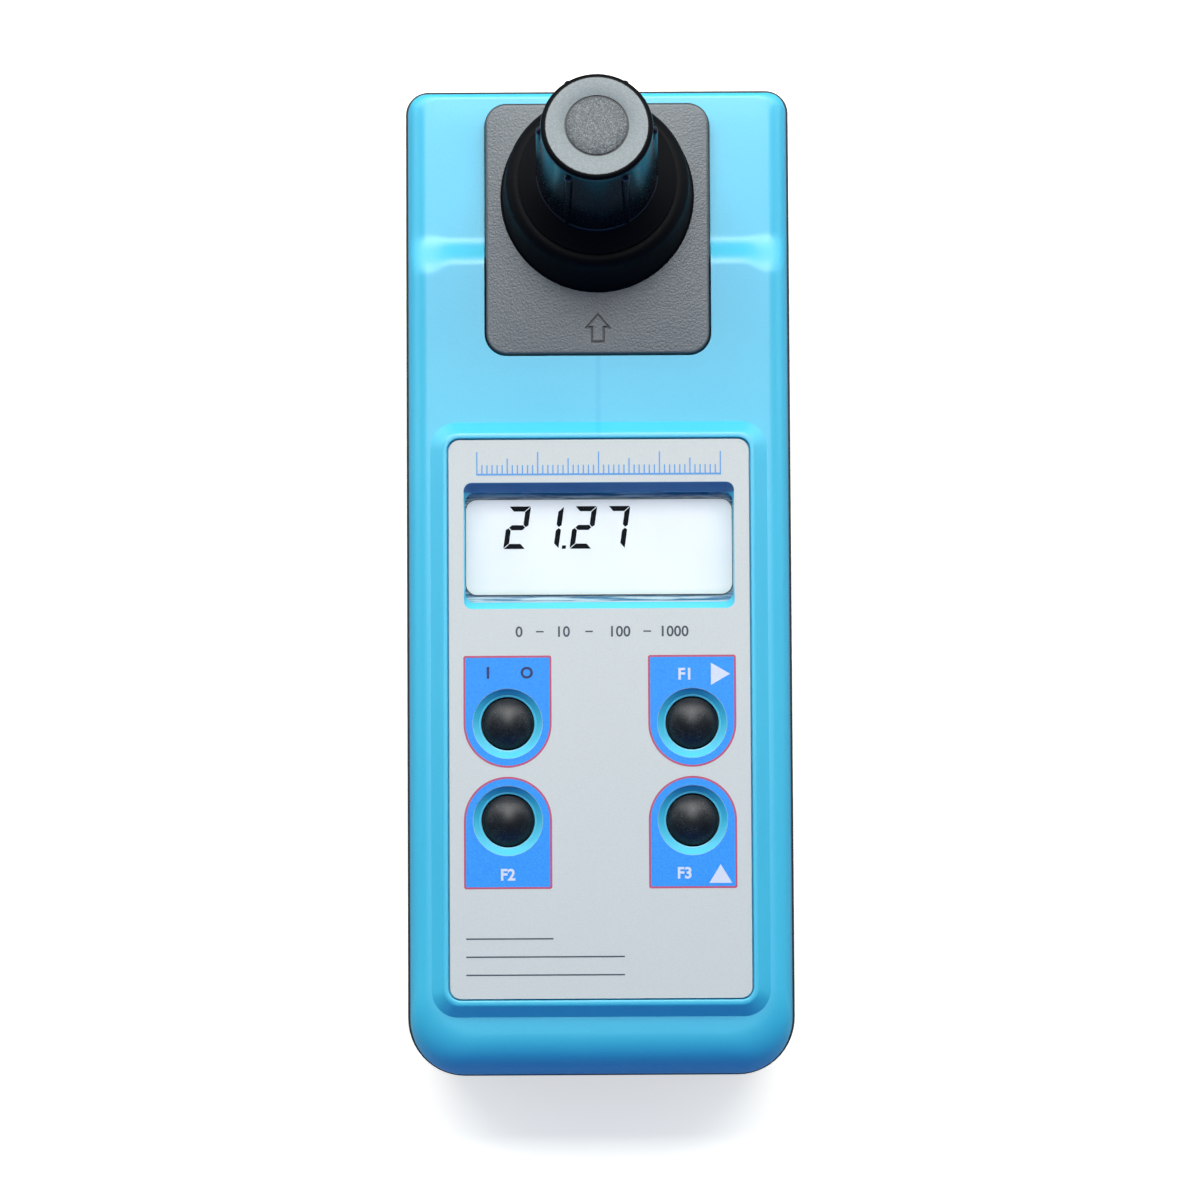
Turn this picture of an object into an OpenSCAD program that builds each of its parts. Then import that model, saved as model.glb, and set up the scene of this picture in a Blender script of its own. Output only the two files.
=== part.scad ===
// Hand-held turbidity meter: a wedge casing with a sloping face, a well for a glass cuvette under a tall
// screw cap, a display, four rubber keys and a battery bay. Millimetres, +X to the right, +Y to the deep end
// with the cuvette, +Z up, origin on the ground under the middle of the casing.
// The sloping face has a frame of its own: X across, Y up the slope from the nose, Z out of the face.

/* [Casing] */
// Width of the casing at its seam
case_w = 82; // [80:0.5:88]
// Depth of the casing at the nose, square to the face
nose_t = 26.9; // [25:0.1:29]
// Angle between the sloping face and the base, in degrees
face_angle = 10.5; // [9.5:0.25:12]
// Depth of the seam below the face
seam_depth = 13; // [12.5:0.25:15]
// Wall of both shells
wall = 2.5; // [2:0.1:2.8]
// Corner radius seen from above, at the nose
nose_corner_r = 11.8; // [9:0.2:13]
// Corner radius seen from above, at the deep end
rear_corner_r = 4.5; // [4:0.1:6]
// Rounding of the shell's long edges
edge_r = 3.6; // [3:0.1:4.2]
// Rounding where the face turns down into the nose
nose_r = 9.5; // [8:0.25:10.5]
// Draft of the upper shell, as inward lean from the seam to the face
shell_draft = 1.2; // [0.8:0.1:1.4]
// Draft of the lower shell, as inward lean from the seam to the base
base_draft = 1.5; // [1:0.1:2]
// Rounding of the edge around the base
base_edge_r = 3; // [2.5:0.1:4]
// Drop of the face beside the cuvette plate
step_drop = 3; // [2.4:0.1:3.4]
// Distance of the top of that step from the plate's lower edge
step_from_plate = 20.6; // [19:0.2:22]
// Length of the slope of that step
step_run = 4.1; // [3:0.1:5]
// How far the seam's rubber bead stands out
bead_out = 0.45; // [0.3:0.05:0.6]
// Thickness of that bead
bead_h = 0.9; // [0.7:0.1:1.2]
// Radius of a rubber foot
foot_r = 5; // [4:0.25:6]
// How far the feet stand out of the base
foot_h = 1; // [0.8:0.1:1.5]

/* [Face] */
// Width of the casing on each side of the grey label
label_side = 9.15; // [8.8:0.05:9.6]
// Length of the label above the display opening
label_above = 9.1; // [8.5:0.1:10]
// Place of the label's lower edge, up the slope
label_v = 16.7; // [16:0.1:17.4]
// Corner radius of the label
label_r = 2.4; // [2:0.1:3]
// Thickness of the label
label_t = 0.3; // [0.2:0.05:0.4]
// Height of the raised panel around the label
panel_h = 2.2; // [1.8:0.1:2.6]
// Width of the rim between the label and the panel's slope
rim_w = 1; // [0.7:0.1:1.2]
// Width of the panel's sloping edge
slope_w = 2.9; // [2.2:0.1:3.2]
// Width of the label on each side of the display opening
window_side = 3.2; // [2.8:0.1:4]
// Length of the display opening in the face
window_len = 26.8; // [26:0.1:27.6]
// Place of the middle of the display, up the slope
window_v = 112.3; // [111.5:0.1:113]
// How far the opening's long walls lean in
window_bevel = 2; // [1.6:0.1:2.4]
// Distance of a key's middle from the side of the label
key_side = 12.35; // [12:0.05:13]
// Distance of the upper keys below the middle of the display
key_below = 37.65; // [37:0.05:39]
// Distance between the rows of keys
key_pitch = 20.5; // [19.5:0.1:21]
// Radius of a key
key_r = 5.3; // [5.1:0.05:5.6]
// Radius of the dish around a key, at the label
dish_r = 7.26; // [7.05:0.05:7.6]
// Travel of a key
key_travel = 0.8; // [0.5:0.1:0.9]

/* [Cuvette well] */
// Width of the black plate on each side of the collar
plate_lip = 3.75; // [3:0.25:5]
// Distance from the foot of the raised panel to the plate
plate_gap = 14.3; // [13:0.1:16]
// Length of the plate
plate_len = 54.1; // [53:0.1:55]
// Distance from the plate to the casing's deep end
plate_to_end = 4.4; // [4:0.1:5]
// Distance of the cuvette's axis from the plate's lower edge, at the face
cell_from_plate = 34; // [33:0.2:34.4]
// Corner radius of the plate
plate_r = 4.7; // [4:0.1:5.5]
// Radius of the collar where it rises from the plate
collar_r = 20.25; // [19.5:0.05:20.8]
// Radius of the collar's rim
collar_top_r = 17.6; // [17:0.1:18.2]
// Height of the collar's rim above the plate, along the cuvette
collar_h = 10.5; // [10:0.1:11.2]
// Radius of the well
well_r = 12.6; // [12.6:0.05:13]
// Wall of the well
well_wall = 2.6; // [2.2:0.1:3]
// Height of the well's floor above the ground
well_floor_z = 12; // [11:0.25:13]
// Height of the light beam above the well's floor
beam_h = 13; // [11:0.25:15]

/* [Cuvette and cap] */
// Radius of the glass cuvette
vial_r = 12.3; // [12:0.05:12.3]
// Height of the glass cuvette
vial_h = 60; // [59.8:0.1:60.4]
// Wall of the glass cuvette
vial_wall = 1.2; // [1:0.1:1.4]
// Radius of the cuvette's neck
neck_r = 9.5; // [9.2:0.05:9.6]
// Height of the cuvette's neck
neck_h = 12; // [11:0.25:13]
// Height of the cap's top above the plate, along the cuvette
cap_top_h = 42; // [39:0.25:45]
// Radius of the grip at its top
grip_top_r = 11.05; // [10.9:0.05:11.3]
// Radius of the grip at its foot
grip_foot_r = 12.6; // [12.3:0.05:12.8]
// Radius of the cap's flange
flange_r = 16.7; // [16.2:0.1:17.4]
// Radius of a rib on the grip
rib_r = 1; // [0.8:0.05:1.2]
// Distance of a rib's middle from the cap's axis
rib_at = 11.8; // [11.5:0.05:12]
// Number of ribs on the grip
rib_count = 6; // [4:1:8]
// Radius of the round groove in the cap's top
cap_groove_r = 6.34; // [5:0.1:7.5]
// Wall of the cap
cap_wall = 1.6; // [1.2:0.1:1.8]

/* [Batteries] */
// Radius of a battery
cell_r = 7.1; // [6.9:0.05:7.2]
// Length of a battery without its nub
cell_len = 49; // [47:0.25:49.5]
// Place of the bay's wall nearest the nose, along the base from the casing's end
bay_from_nose = 41; // [38:0.5:46]
// Thickness of the battery cover
cover_t = 2.2; // [2:0.1:2.4]

/* [Boards] */
// Thickness of the circuit boards
board_t = 1.6; // [1.2:0.1:2]
// Depth of the main board's upper side below the face
board_depth = 7.5; // [7.3:0.1:8.5]
// Width of the casing on each side of the main board
board_side = 8; // [7.5:0.25:9]
// Distance of the main board's lower edge from the label's
board_inset = 3.3; // [2:0.1:6]
// Distance of the main board's upper edge above the label's
board_over = 2.2; // [2:0.1:4]

/* [Hidden] */

// gap between pieces on different bodies
gap = 0.3;
// thinnest layer of a lofted form, and the overlap that lets a cut pass right through
skin = 0.01;
cut = 1;
// facets of round edges in lofted forms, and of true round parts
soft_fn = 32;
round_fn = 64;
$fn = round_fn;

// what lies on the face, from the nose to the deep end
label_w = case_w - 2 * label_side;
window_w = label_w - 2 * window_side;
label_len = window_v + window_len / 2 + label_above - label_v;
panel_half = label_w / 2 + rim_w;
panel_v0 = label_v - rim_w;
panel_v1 = label_v + label_len + rim_w;
key_u = label_w / 2 - key_side;
key_v = window_v - key_below - key_pitch;
plate_w = 2 * (collar_r + plate_lip);
plate_v0 = panel_v1 + slope_w + plate_gap;
plate_v1 = plate_v0 + plate_len;
step_v = plate_v0 + step_from_plate;
step_corner_r = 2.5;
cell_v = plate_v0 + cell_from_plate;
face_len = plate_v1 + plate_to_end;
board_w = case_w - 2 * board_side;
board_v0 = label_v + board_inset;
board_v1 = label_v + label_len + board_over;

// the wedge
case_h = nose_t * cos(face_angle) + face_len * sin(face_angle);
case_len = face_len * cos(face_angle) + case_h * tan(face_angle);
nose_y = -case_len / 2 - seam_depth * sin(face_angle) / 2;
face_z = foot_h + nose_t * cos(face_angle);
base_y0 = nose_y + nose_t * sin(face_angle);
base_y1 = nose_y + case_len;
base_half = case_w / 2 - base_draft;
floor_z = foot_h + wall;

// a point of the face frame in the part's frame
function face_y(v, w) = nose_y + v * cos(face_angle) - w * sin(face_angle);
function face_height(v, w) = face_z + v * sin(face_angle) + w * cos(face_angle);
// height of a plane parallel to the face above a place on the base
function over_base(y, w) = face_z + (y - nose_y) * tan(face_angle) + w / cos(face_angle);

// how far a rounded edge has drawn in at a depth below its top
function round_in(depth, r) = depth < r ? r - sqrt(r * r - (r - depth) * (r - depth)) : 0;
// how far the upper shell leans in at a height of the face frame
function draft_in(w) = shell_draft * (w + seam_depth) / seam_depth;

// the face
rim_t = panel_h - label_t - 0.2;
label_top = rim_t + label_t;
panel_under = -0.7;
key_places = [[-key_u, key_v + key_pitch], [key_u, key_v + key_pitch], [-key_u, key_v], [key_u, key_v]];
key_hole_r = key_r + 0.35;
dish_depth = 1.3;
dish_ledge = 0.4;
pocket_side = 1.4;

// depths of what lies behind the face
pane_t = 1.2;
lcd_top = panel_under - pane_t - 0.5;
lcd_t = 2.4;
lcd_half = window_len / 2 + 0.1;
board_top = -board_depth;
board_under = board_top - board_t;
skirt_top = panel_under - gap;
skirt_t = 2.2;
skirt_r = key_r + 1.4;
ring_top = skirt_top - skirt_t;
parts_v = window_v - 20;
pill_r = 2.2;
pill_t = 1;
pill_under = board_top + key_travel + 0.1;
key_under = pill_under + pill_t;

// the cuvette's axis and the plate around it
cell_y = face_y(cell_v, 0);
plate_z = face_height(cell_v, 0);
plate_under = -step_drop - 1;
inner_top_rear = plate_under - wall - 0.2;
inner_split_v = plate_v0 - 5;
hub_r = well_r + 3.4;
hub_under = inner_top_rear - 2;
well_out_r = well_r + well_wall;
well_foot_z = well_floor_z - 4;
ear_t = 3;
ear_x = 22;
ear_y = 11;
beam_z = well_floor_z + beam_h;
led_r = 2.5;
port_r = 5;
port_out = well_out_r + 8;
optics_y = cell_y - port_out - gap;

// heights of the cuvette and its cap
vial_z = well_floor_z + gap;
vial_top = vial_z + vial_h;
shoulder_z = vial_top - neck_h;
shoulder_h = 3;
rim_z = plate_z + collar_h;
flange_z = rim_z + gap;
flange_edge_z = flange_z + 0.9;
grip_foot_z = flange_edge_z + 2.7;
cap_top_z = plate_z + cap_top_h;
seal_z = vial_top + 0.1;
seal_t = 0.8;
ceiling_z = seal_z + seal_t;
ceiling_t = 2;
thread_fit = 0.08;
insert_r = well_r - 0.7;
plug_r = grip_foot_r - cap_wall - 1;

// the battery bay
bay_clear = 0.25;
bay_half = 4 * (cell_r + bay_clear);
spring_len = 4.2;
nub_len = 1.4;
plate_t = 0.5;
bay_len = cell_len + nub_len + spring_len + 2 * plate_t + 0.2;
bay_wall = 3;
bay_y0 = base_y0 - nose_t * sin(face_angle) + bay_from_nose;
bay_y1 = bay_y0 + bay_len;
battery_z = foot_h + cover_t + 0.4 + cell_r;
bay_top = battery_z + cell_r + 0.3;
bay_roof = 1.6;
cover_lap = 1.6;
cover_half = bay_half + cover_lap;
cover_y0 = bay_y0 - cover_lap;
cover_y1 = bay_y1 + cover_lap;
tab_x = 2 * (cell_r + bay_clear);
tab_w = 6;
tab_neck = 2.5;
tab_reach = 3;
tab_t = 1.6;
tab_under = floor_z + gap;

// screws
screw_r = 1.5;
screw_fit = 0.05;
screw_head_r = 2.9;
screw_head_t = 2;
post_r = 4.6;
driver_r = screw_head_r + 0.6;
post_reach = 9;
post_in = 8.4;
post_v0 = 13.2;
post_v1 = face_len - 9;
post_places = [[-1, post_v0], [1, post_v0], [-1, post_v1], [1, post_v1]];
small_screw_r = 1.1;
small_head_r = 2.1;
small_head_t = 1.4;
board_boss_r = 2.6;
board_holes = [[-board_w / 2 + 3, board_v0 + 5], [board_w / 2 - 3, board_v0 + 5],
    [-board_w / 2 + 3, board_v1 - 4], [board_w / 2 - 3, board_v1 - 4]];
foot_x = base_half - 9;
foot_y0 = base_y0 + 25;
foot_y1 = base_y1 - base_edge_r - foot_r - 0.5;
foot_places = [[-foot_x, foot_y0], [foot_x, foot_y0], [-foot_x, foot_y1], [foot_x, foot_y1]];
foot_sink = 1;

// frames
module on_face() {
    translate([0, nose_y, face_z]) rotate([face_angle, 0, 0]) children();
}

module on_cell() {
    translate([0, cell_y, 0]) children();
}

// a rounded outline across the middle line, with its own corner radius at each end
module outline(half, v0, v1, r0, r1) {
    polygon([[-half + r0, v0], [half - r0, v0], [half, v0 + r0], [half, v1 - r1],
        [half - r1, v1], [-half + r1, v1], [-half, v1 - r1], [-half, v0 + r0]]);
    for (side = [-1, 1]) {
        translate([side * (half - r0), v0 + r0]) circle(r0);
        translate([side * (half - r1), v1 - r1]) circle(r1);
    }
}

// one thin layer of a lofted form, with its top at w
module layer(half, v0, v1, r0, r1, w) {
    translate([0, 0, w - skin]) linear_extrude(skin) outline(half, v0, v1, r0, r1, $fn = soft_fn);
}

module prism(half, v0, v1, r, w0, w1) {
    translate([0, 0, w0]) linear_extrude(w1 - w0) outline(half, v0, v1, r, r);
}

module tube(outer, inner, z0, z1) {
    translate([0, 0, z0]) difference() {
        cylinder(r = outer, h = z1 - z0);
        translate([0, 0, -cut]) cylinder(r = inner, h = z1 - z0 + 2 * cut);
    }
}

module box(x0, x1, y0, y1, z0, z1) {
    translate([x0, y0, z0]) cube([x1 - x0, y1 - y0, z1 - z0]);
}

// the blue shell's front part, which carries the label; grow draws it in by a wall
module front_form(grow) {
    top = -grow;
    side_r = edge_r - grow / 2;
    fall_r = nose_r - grow / 2;
    hull() for (depth = [0, 0.04, 0.16, 0.38, 0.7, 1.3, 2, 3.2, 4.5, 6.5, 9]) {
        w = top - depth * edge_r / 3.6;
        side = grow + draft_in(w) + round_in(top - w, side_r);
        front = grow + round_in(top - w, fall_r);
        end = grow > 0 ? inner_split_v : step_v - w * step_run / step_drop - round_in(-w, 2);
        layer(case_w / 2 - side, front, end, nose_corner_r - grow, grow > 0 ? 1 : step_corner_r, w);
        if (depth == 9)
            layer(case_w / 2 - grow, grow, end, nose_corner_r - grow, grow > 0 ? 1 : step_corner_r,
                -seam_depth + skin - (grow > 0 ? cut : 0));
    }
}

// the blue shell's rear part, lower by the step
module rear_form(grow) {
    top = grow > 0 ? inner_top_rear : -step_drop;
    start = grow > 0 ? inner_split_v - cut : inner_split_v - 20;
    side_r = grow > 0 ? 1.2 : edge_r;
    corner = rear_corner_r - (grow > 0 ? grow * 0.9 : 0);
    hull() for (depth = [0, 0.04, 0.16, 0.38, 0.7, 1.3, 2, 3.6]) {
        w = top - depth * side_r / 3.6;
        side = grow + draft_in(w) + round_in(top - w, side_r);
        layer(case_w / 2 - side, start, face_len - side, 1, corner, w);
        if (depth == 3.6) layer(case_w / 2 - grow, start, face_len - grow, 1, corner,
            -seam_depth + skin - (grow > 0 ? cut : 0));
    }
}

// the raised panel around the label
module panel_form() {
    hull() {
        layer(panel_half + slope_w, panel_v0 - slope_w, panel_v1 + slope_w, 5.5, 5.5, -0.5);
        layer(panel_half + slope_w, panel_v0 - slope_w, panel_v1 + slope_w, 5.5, 5.5, 0.1);
        layer(panel_half + 0.25, panel_v0 - 0.25, panel_v1 + 0.25, 3.4, 3.4, panel_h - 0.25);
        layer(panel_half, panel_v0, panel_v1, 3.2, 3.2, panel_h);
    }
}

module upper_shell() {
    color("deepskyblue") on_face() {
        difference() {
            union() {
                front_form(0);
                rear_form(0);
                panel_form();
            }
            front_form(wall);
            rear_form(wall);
            prism(label_w / 2 + 0.1, label_v - 0.1, label_v + label_len + 0.1, label_r, rim_t, panel_h + cut);
            prism(panel_half - pocket_side, panel_v0 + pocket_side, panel_v1 - pocket_side, 2,
                -wall - cut, panel_under);
            window_cut();
            for (place = key_places) translate([place[0], place[1], 0]) {
                cylinder(r = key_hole_r, h = 20, center = true);
                translate([0, 0, label_top - dish_depth]) {
                    cylinder(r1 = key_hole_r + dish_ledge, r2 = dish_r, h = dish_depth);
                    translate([0, 0, dish_depth]) cylinder(r = dish_r, h = 2);
                }
            }
            prism(plate_w / 2 + 0.15, plate_v0 - 0.15, plate_v1 + 0.15, plate_r, plate_under, 5);
            well_hole(hub_r + gap, -20, 5);
        }
        for (hole = board_holes) translate([hole[0], hole[1], 0])
            tube(board_boss_r, small_screw_r + screw_fit, board_top, panel_under - 0.2);
        for (place = post_places) shell_post(place);
    }
}

// the display opening, wider at the face
module window_cut() {
    half = window_w / 2;
    v0 = window_v - window_len / 2;
    v1 = window_v + window_len / 2;
    hull() {
        layer(half - 0.6, v0 + window_bevel, v1 - window_bevel, 1.8, 1.8, panel_under - cut);
        layer(half - 0.6, v0 + window_bevel, v1 - window_bevel, 1.8, 1.8, panel_under);
        layer(half, v0, v1, 1.7, 1.7, label_top - 0.2);
        layer(half, v0, v1, 1.7, 1.7, panel_h + cut);
    }
}

// an upright hole on the cuvette's axis, cut in the face frame
module well_hole(r, z0, z1) {
    translate([0, cell_v, 0]) rotate([-face_angle, 0, 0]) translate([0, 0, z0]) cylinder(r = r, h = z1 - z0);
}

// a screw post under the upper shell's face
module shell_post(place) {
    under = place[1] > inner_split_v ? inner_top_rear : -wall;
    translate([place[0] * (case_w / 2 - post_in), place[1], 0])
        tube(post_r - 0.8, screw_r + screw_fit, -seam_depth, under + 0.5);
}

module lower_form(grow) {
    lift = foot_h + (grow > 0 ? wall : 0);
    r = base_edge_r - grow / 2;
    hull() {
        on_face() layer(case_w / 2 - grow, grow, face_len - grow, nose_corner_r - grow,
            rear_corner_r - grow * 0.8, -seam_depth - bead_h + (grow > 0 ? cut : 0));
        for (depth = [0, 0.08, 0.35, 1]) {
            side = grow + round_in(depth * r, r);
            layer(base_half - side, base_y0 + side, base_y1 - side, nose_corner_r - 1.8 - grow,
                rear_corner_r - grow * 0.8, lift + depth * r + skin);
        }
    }
}

// a post of the lower shell, from the base up to the seam
module base_post(place) {
    x = place[0] * (case_w / 2 - post_in);
    y = face_y(place[1], -seam_depth - bead_h);
    top = face_height(place[1], -seam_depth - bead_h);
    translate([x, y, floor_z - 0.5]) cylinder(r = post_r, h = top - floor_z - 2);
    on_face() translate([x, place[1], -seam_depth - bead_h - post_reach]) cylinder(r = post_r - 0.4, h = post_reach);
}

// the screw's own hole, square to the face, and the well from the base that lets the screwdriver in
module post_bore(place) {
    x = place[0] * (case_w / 2 - post_in);
    seat = -seam_depth - bead_h - 4;
    on_face() {
        translate([x, place[1], seat]) cylinder(r = screw_r + screw_fit, h = 10);
        translate([x, place[1], seat - 3]) cylinder(r = screw_head_r + 0.2, h = 3);
    }
    translate([x, face_y(place[1], seat - 1), foot_h - cut])
        cylinder(r = driver_r, h = face_height(place[1], seat - 1) - foot_h + cut);
}

module lower_shell() {
    color("dimgray") difference() {
        union() {
            difference() {
                lower_form(0);
                lower_form(wall);
            }
            box(-bay_half - bay_wall, bay_half + bay_wall, bay_y0 - bay_wall, bay_y1 + bay_wall,
                foot_h + 1, bay_top + bay_roof);
            for (place = post_places) base_post(place);
            for (x = [-ear_x, ear_x], y = [-ear_y, ear_y]) translate([x, cell_y + y, floor_z - 0.5])
                cylinder(r = 3.4, h = well_foot_z - floor_z + 0.5);
            for (x = [-5, 5]) box(x - 0.8, x + 0.8, bay_y1 + bay_wall - 0.5, bay_y1 + bay_wall + 16,
                floor_z - 0.5, floor_z + 6);
        }
        box(-bay_half, bay_half, bay_y0, bay_y1, foot_h - cut, bay_top);
        box(-cover_half - gap, cover_half + gap, cover_y0 - gap, cover_y1 + gap, foot_h - cut,
            foot_h + cover_t + 0.1);
        for (side = [-1, 1]) {
            box(side * tab_x - tab_w / 2 - gap, side * tab_x + tab_w / 2 + gap,
                bay_y1 - cut, bay_y1 + bay_wall + cut, floor_z, tab_under + tab_t + 2);
            box(side * tab_x - tab_w / 2 - gap, side * tab_x + tab_w / 2 + gap,
                bay_y1 - cut, cover_y1 + gap, foot_h + 1, floor_z + 0.1);
        }
        for (x = [-ear_x, ear_x], y = [-ear_y, ear_y]) translate([x, cell_y + y, floor_z])
            cylinder(r = small_screw_r + screw_fit, h = well_foot_z);
        for (place = post_places) post_bore(place);
        for (place = foot_places) translate([place[0], place[1], foot_h - cut])
            cylinder(r = foot_r, h = foot_sink + cut);
    }
}

module case_gasket() {
    color("black") on_face() translate([0, 0, -seam_depth - bead_h]) linear_extrude(bead_h) difference() {
        outline(case_w / 2 + bead_out, -bead_out, face_len + bead_out, nose_corner_r + bead_out,
            rear_corner_r + bead_out);
        outline(case_w / 2 - wall, wall, face_len - wall, nose_corner_r - wall, rear_corner_r - wall * 0.8);
    }
}

module face_label() {
    color("lightgray") on_face() difference() {
        prism(label_w / 2, label_v, label_v + label_len, label_r, rim_t, label_top);
        prism(window_w / 2, window_v - window_len / 2, window_v + window_len / 2, 1.7, 0, 5);
        for (place = key_places) translate([place[0], place[1], 0]) cylinder(r = dish_r + 0.1, h = 5);
    }
}

module display_window() {
    color("white", 0.5) on_face() prism(window_w / 2 + 1.2, window_v - window_len / 2 + 0.5,
        window_v + window_len / 2 - 0.5, 1.5, panel_under - pane_t, panel_under);
}

// direction arrow, pointing up the slope
module arrow(grow) {
    half = 2.65;
    shaft = 1.5;
    neck = 3.3;
    tip = 6.2;
    point = grow * 1.5;
    polygon([[0, tip + point], [-half - grow * 2, neck - grow], [-shaft - grow, neck - grow],
        [-shaft - grow, -grow], [shaft + grow, -grow], [shaft + grow, neck - grow],
        [half + grow * 2, neck - grow]]);
}

module collar_form() {
    hull() {
        on_face() translate([0, cell_v, -0.5]) cylinder(r = collar_r, h = 0.5, $fn = 64);
        on_cell() for (step = [0, 1, 2, 3, 4, 5]) {
            a = step * 18;
            translate([0, 0, rim_z - 2.4 + 2.4 * sin(a) - skin])
                cylinder(r = collar_top_r - 0.6 + 2.4 * cos(a), h = skin, $fn = 64);
        }
    }
}

module cell_plate() {
    color("#2b2d2e") difference() {
        union() {
            collar_form();
            on_face() prism(plate_w / 2, plate_v0, plate_v1, plate_r, plate_under + 0.6, 0);
            intersection() {
                on_cell() translate([0, 0, plate_z - 30]) cylinder(r = hub_r, h = 30);
                on_face() box(-40, 40, cell_v - 40, cell_v + 40, hub_under, -0.5);
            }
        }
        on_cell() translate([0, 0, plate_z - 40]) cylinder(r = well_r, h = 80);
        on_cell() translate([0, 0, rim_z - 1.2]) cylinder(r1 = well_r, r2 = well_r + 1.4, h = 1.21);
        on_face() translate([0, plate_v0 + 2.6, -0.35]) linear_extrude(1) difference() {
            arrow(0);
            arrow(-0.42);
        }
    }
}

module cell_gasket() {
    color("black") on_face() difference() {
        prism(plate_w / 2 - 0.8, plate_v0 + 0.8, plate_v1 - 0.8, plate_r - 0.8, plate_under, plate_under + 0.6);
        well_hole(hub_r + gap, -20, 5);
    }
}

module cell_well() {
    color("#1f2122") difference() {
        intersection() {
            on_cell() union() {
                translate([0, 0, well_foot_z]) cylinder(r = well_out_r, h = plate_z);
                translate([0, 0, well_foot_z]) linear_extrude(ear_t) {
                    outline(ear_x + 3, -ear_y - 3, ear_y + 3, 3, 3);
                }
                translate([0, 0, beam_z]) {
                    rotate([0, 90, 0]) cylinder(r = port_r + 1.5, h = port_out);
                    rotate([90, 0, 0]) cylinder(r = port_r + 1.5, h = port_out);
                }
            }
            on_face() box(-60, 60, cell_v - 60, cell_v + 60, -100, hub_under);
        }
        on_cell() {
            translate([0, 0, well_floor_z]) cylinder(r = well_r, h = plate_z);
            translate([0, 0, beam_z]) {
                rotate([0, 90, 0]) cylinder(r = led_r, h = port_out + cut);
                rotate([0, 90, 0]) translate([0, 0, well_out_r]) cylinder(r = port_r, h = port_out);
                rotate([90, 0, 0]) cylinder(r = led_r, h = port_out + cut);
                rotate([90, 0, 0]) translate([0, 0, well_out_r]) cylinder(r = port_r, h = port_out);
            }
            for (x = [-ear_x, ear_x], y = [-ear_y, ear_y]) translate([x, y, 0])
                cylinder(r = small_screw_r + screw_fit, h = well_floor_z);
        }
    }
}

// a pan-head screw hanging from its head: the head's underside at z = 0, the shank below
module screw(shank_r, shank_len, head_r, head_t) {
    translate([0, 0, -shank_len]) cylinder(r = shank_r, h = shank_len + 0.1);
    difference() {
        union() {
            cylinder(r = head_r, h = head_t * 0.6);
            translate([0, 0, head_t * 0.6]) cylinder(r1 = head_r, r2 = head_r * 0.7, h = head_t * 0.4);
        }
        for (turn = [0, 90]) rotate([0, 0, turn])
            translate([-head_r * 0.6, -0.3, head_t * 0.5]) cube([head_r * 1.2, 0.6, head_t]);
    }
}

module well_screws() {
    color("silver") on_cell() for (x = [-ear_x, ear_x], y = [-ear_y, ear_y])
        translate([x, y, well_foot_z + ear_t]) screw(small_screw_r, 6, small_head_r, small_head_t);
}

module emitter_led() {
    color("purple", 0.8) on_cell() translate([well_out_r + 2.2, 0, beam_z]) rotate([0, 90, 0]) {
        cylinder(r = led_r, h = 4);
        sphere(r = led_r);
        translate([0, 0, 4]) cylinder(r = led_r + 0.5, h = 1.2);
        for (side = [-1, 1]) translate([side * 1.27, 0, 5]) cylinder(r = 0.3, h = 3.2);
    }
    color("black") on_cell() translate([well_out_r + 5.4, 0, beam_z]) rotate([0, 90, 0])
        tube(port_r, led_r + 0.02, 0, 1);
}

module emitter_lens() {
    color("white", 0.4) on_cell() translate([well_r + 1, 0, beam_z]) rotate([0, 90, 0])
        cylinder(r = led_r, h = 1.2);
}

module photocell() {
    color("gray") on_cell() translate([0, -well_out_r, beam_z]) rotate([90, 0, 0]) {
        cylinder(r = 4.1, h = 3.6);
        cylinder(r = port_r, h = 0.9);
        for (side = [-1, 1]) translate([side * 2, 0, 3.5]) cylinder(r = 0.3, h = port_out - well_out_r + gap - 3.5);
    }
}

module optics_board() {
    color("darkgreen") difference() {
        box(-18, 24, optics_y - board_t, optics_y, well_foot_z + 1, beam_z + 22);
        for (side = [-1, 1]) translate([side * 2, optics_y, beam_z]) rotate([90, 0, 0])
            cylinder(r = 0.35, h = 2 * board_t + cut, center = true);
        translate([21, optics_y, beam_z + 18]) rotate([90, 0, 0])
            cylinder(r = 1.2, h = 2 * board_t + cut, center = true);
    }
}

module lcd_glass() {
    color("whitesmoke") on_face() prism(window_w / 2 + 1.6, window_v - lcd_half, window_v + lcd_half, 0.6,
        lcd_top - lcd_t, lcd_top);
}

module lcd_frame() {
    color("white") on_face() difference() {
        prism(window_w / 2 + 2.4, window_v - lcd_half - 1.5, window_v + lcd_half + 1.5, 1.5, board_top, panel_under - pane_t);
        prism(window_w / 2 + 1.7, window_v - lcd_half - 0.1, window_v + lcd_half + 0.1, 0.7, board_top - cut, lcd_top);
        prism(window_w / 2 - 0.2, window_v - lcd_half + 1.9, window_v + lcd_half - 1.9, 1, lcd_top - cut, 0);
    }
}

module elastomer_strips() {
    color("gray") on_face() for (side = [-1, 1]) box(-window_w / 2, window_w / 2,
        window_v + side * (lcd_half - 1.5) - 1.1, window_v + side * (lcd_half - 1.5) + 1.1, board_top, lcd_top - lcd_t);
}

module main_board() {
    color("green") on_face() difference() {
        prism(board_w / 2, board_v0, board_v1, 2, board_under, board_top);
        for (hole = board_holes) translate([hole[0], hole[1], board_under - cut])
            cylinder(r = small_screw_r + 0.3, h = board_t + 2 * cut);
    }
}

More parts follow.
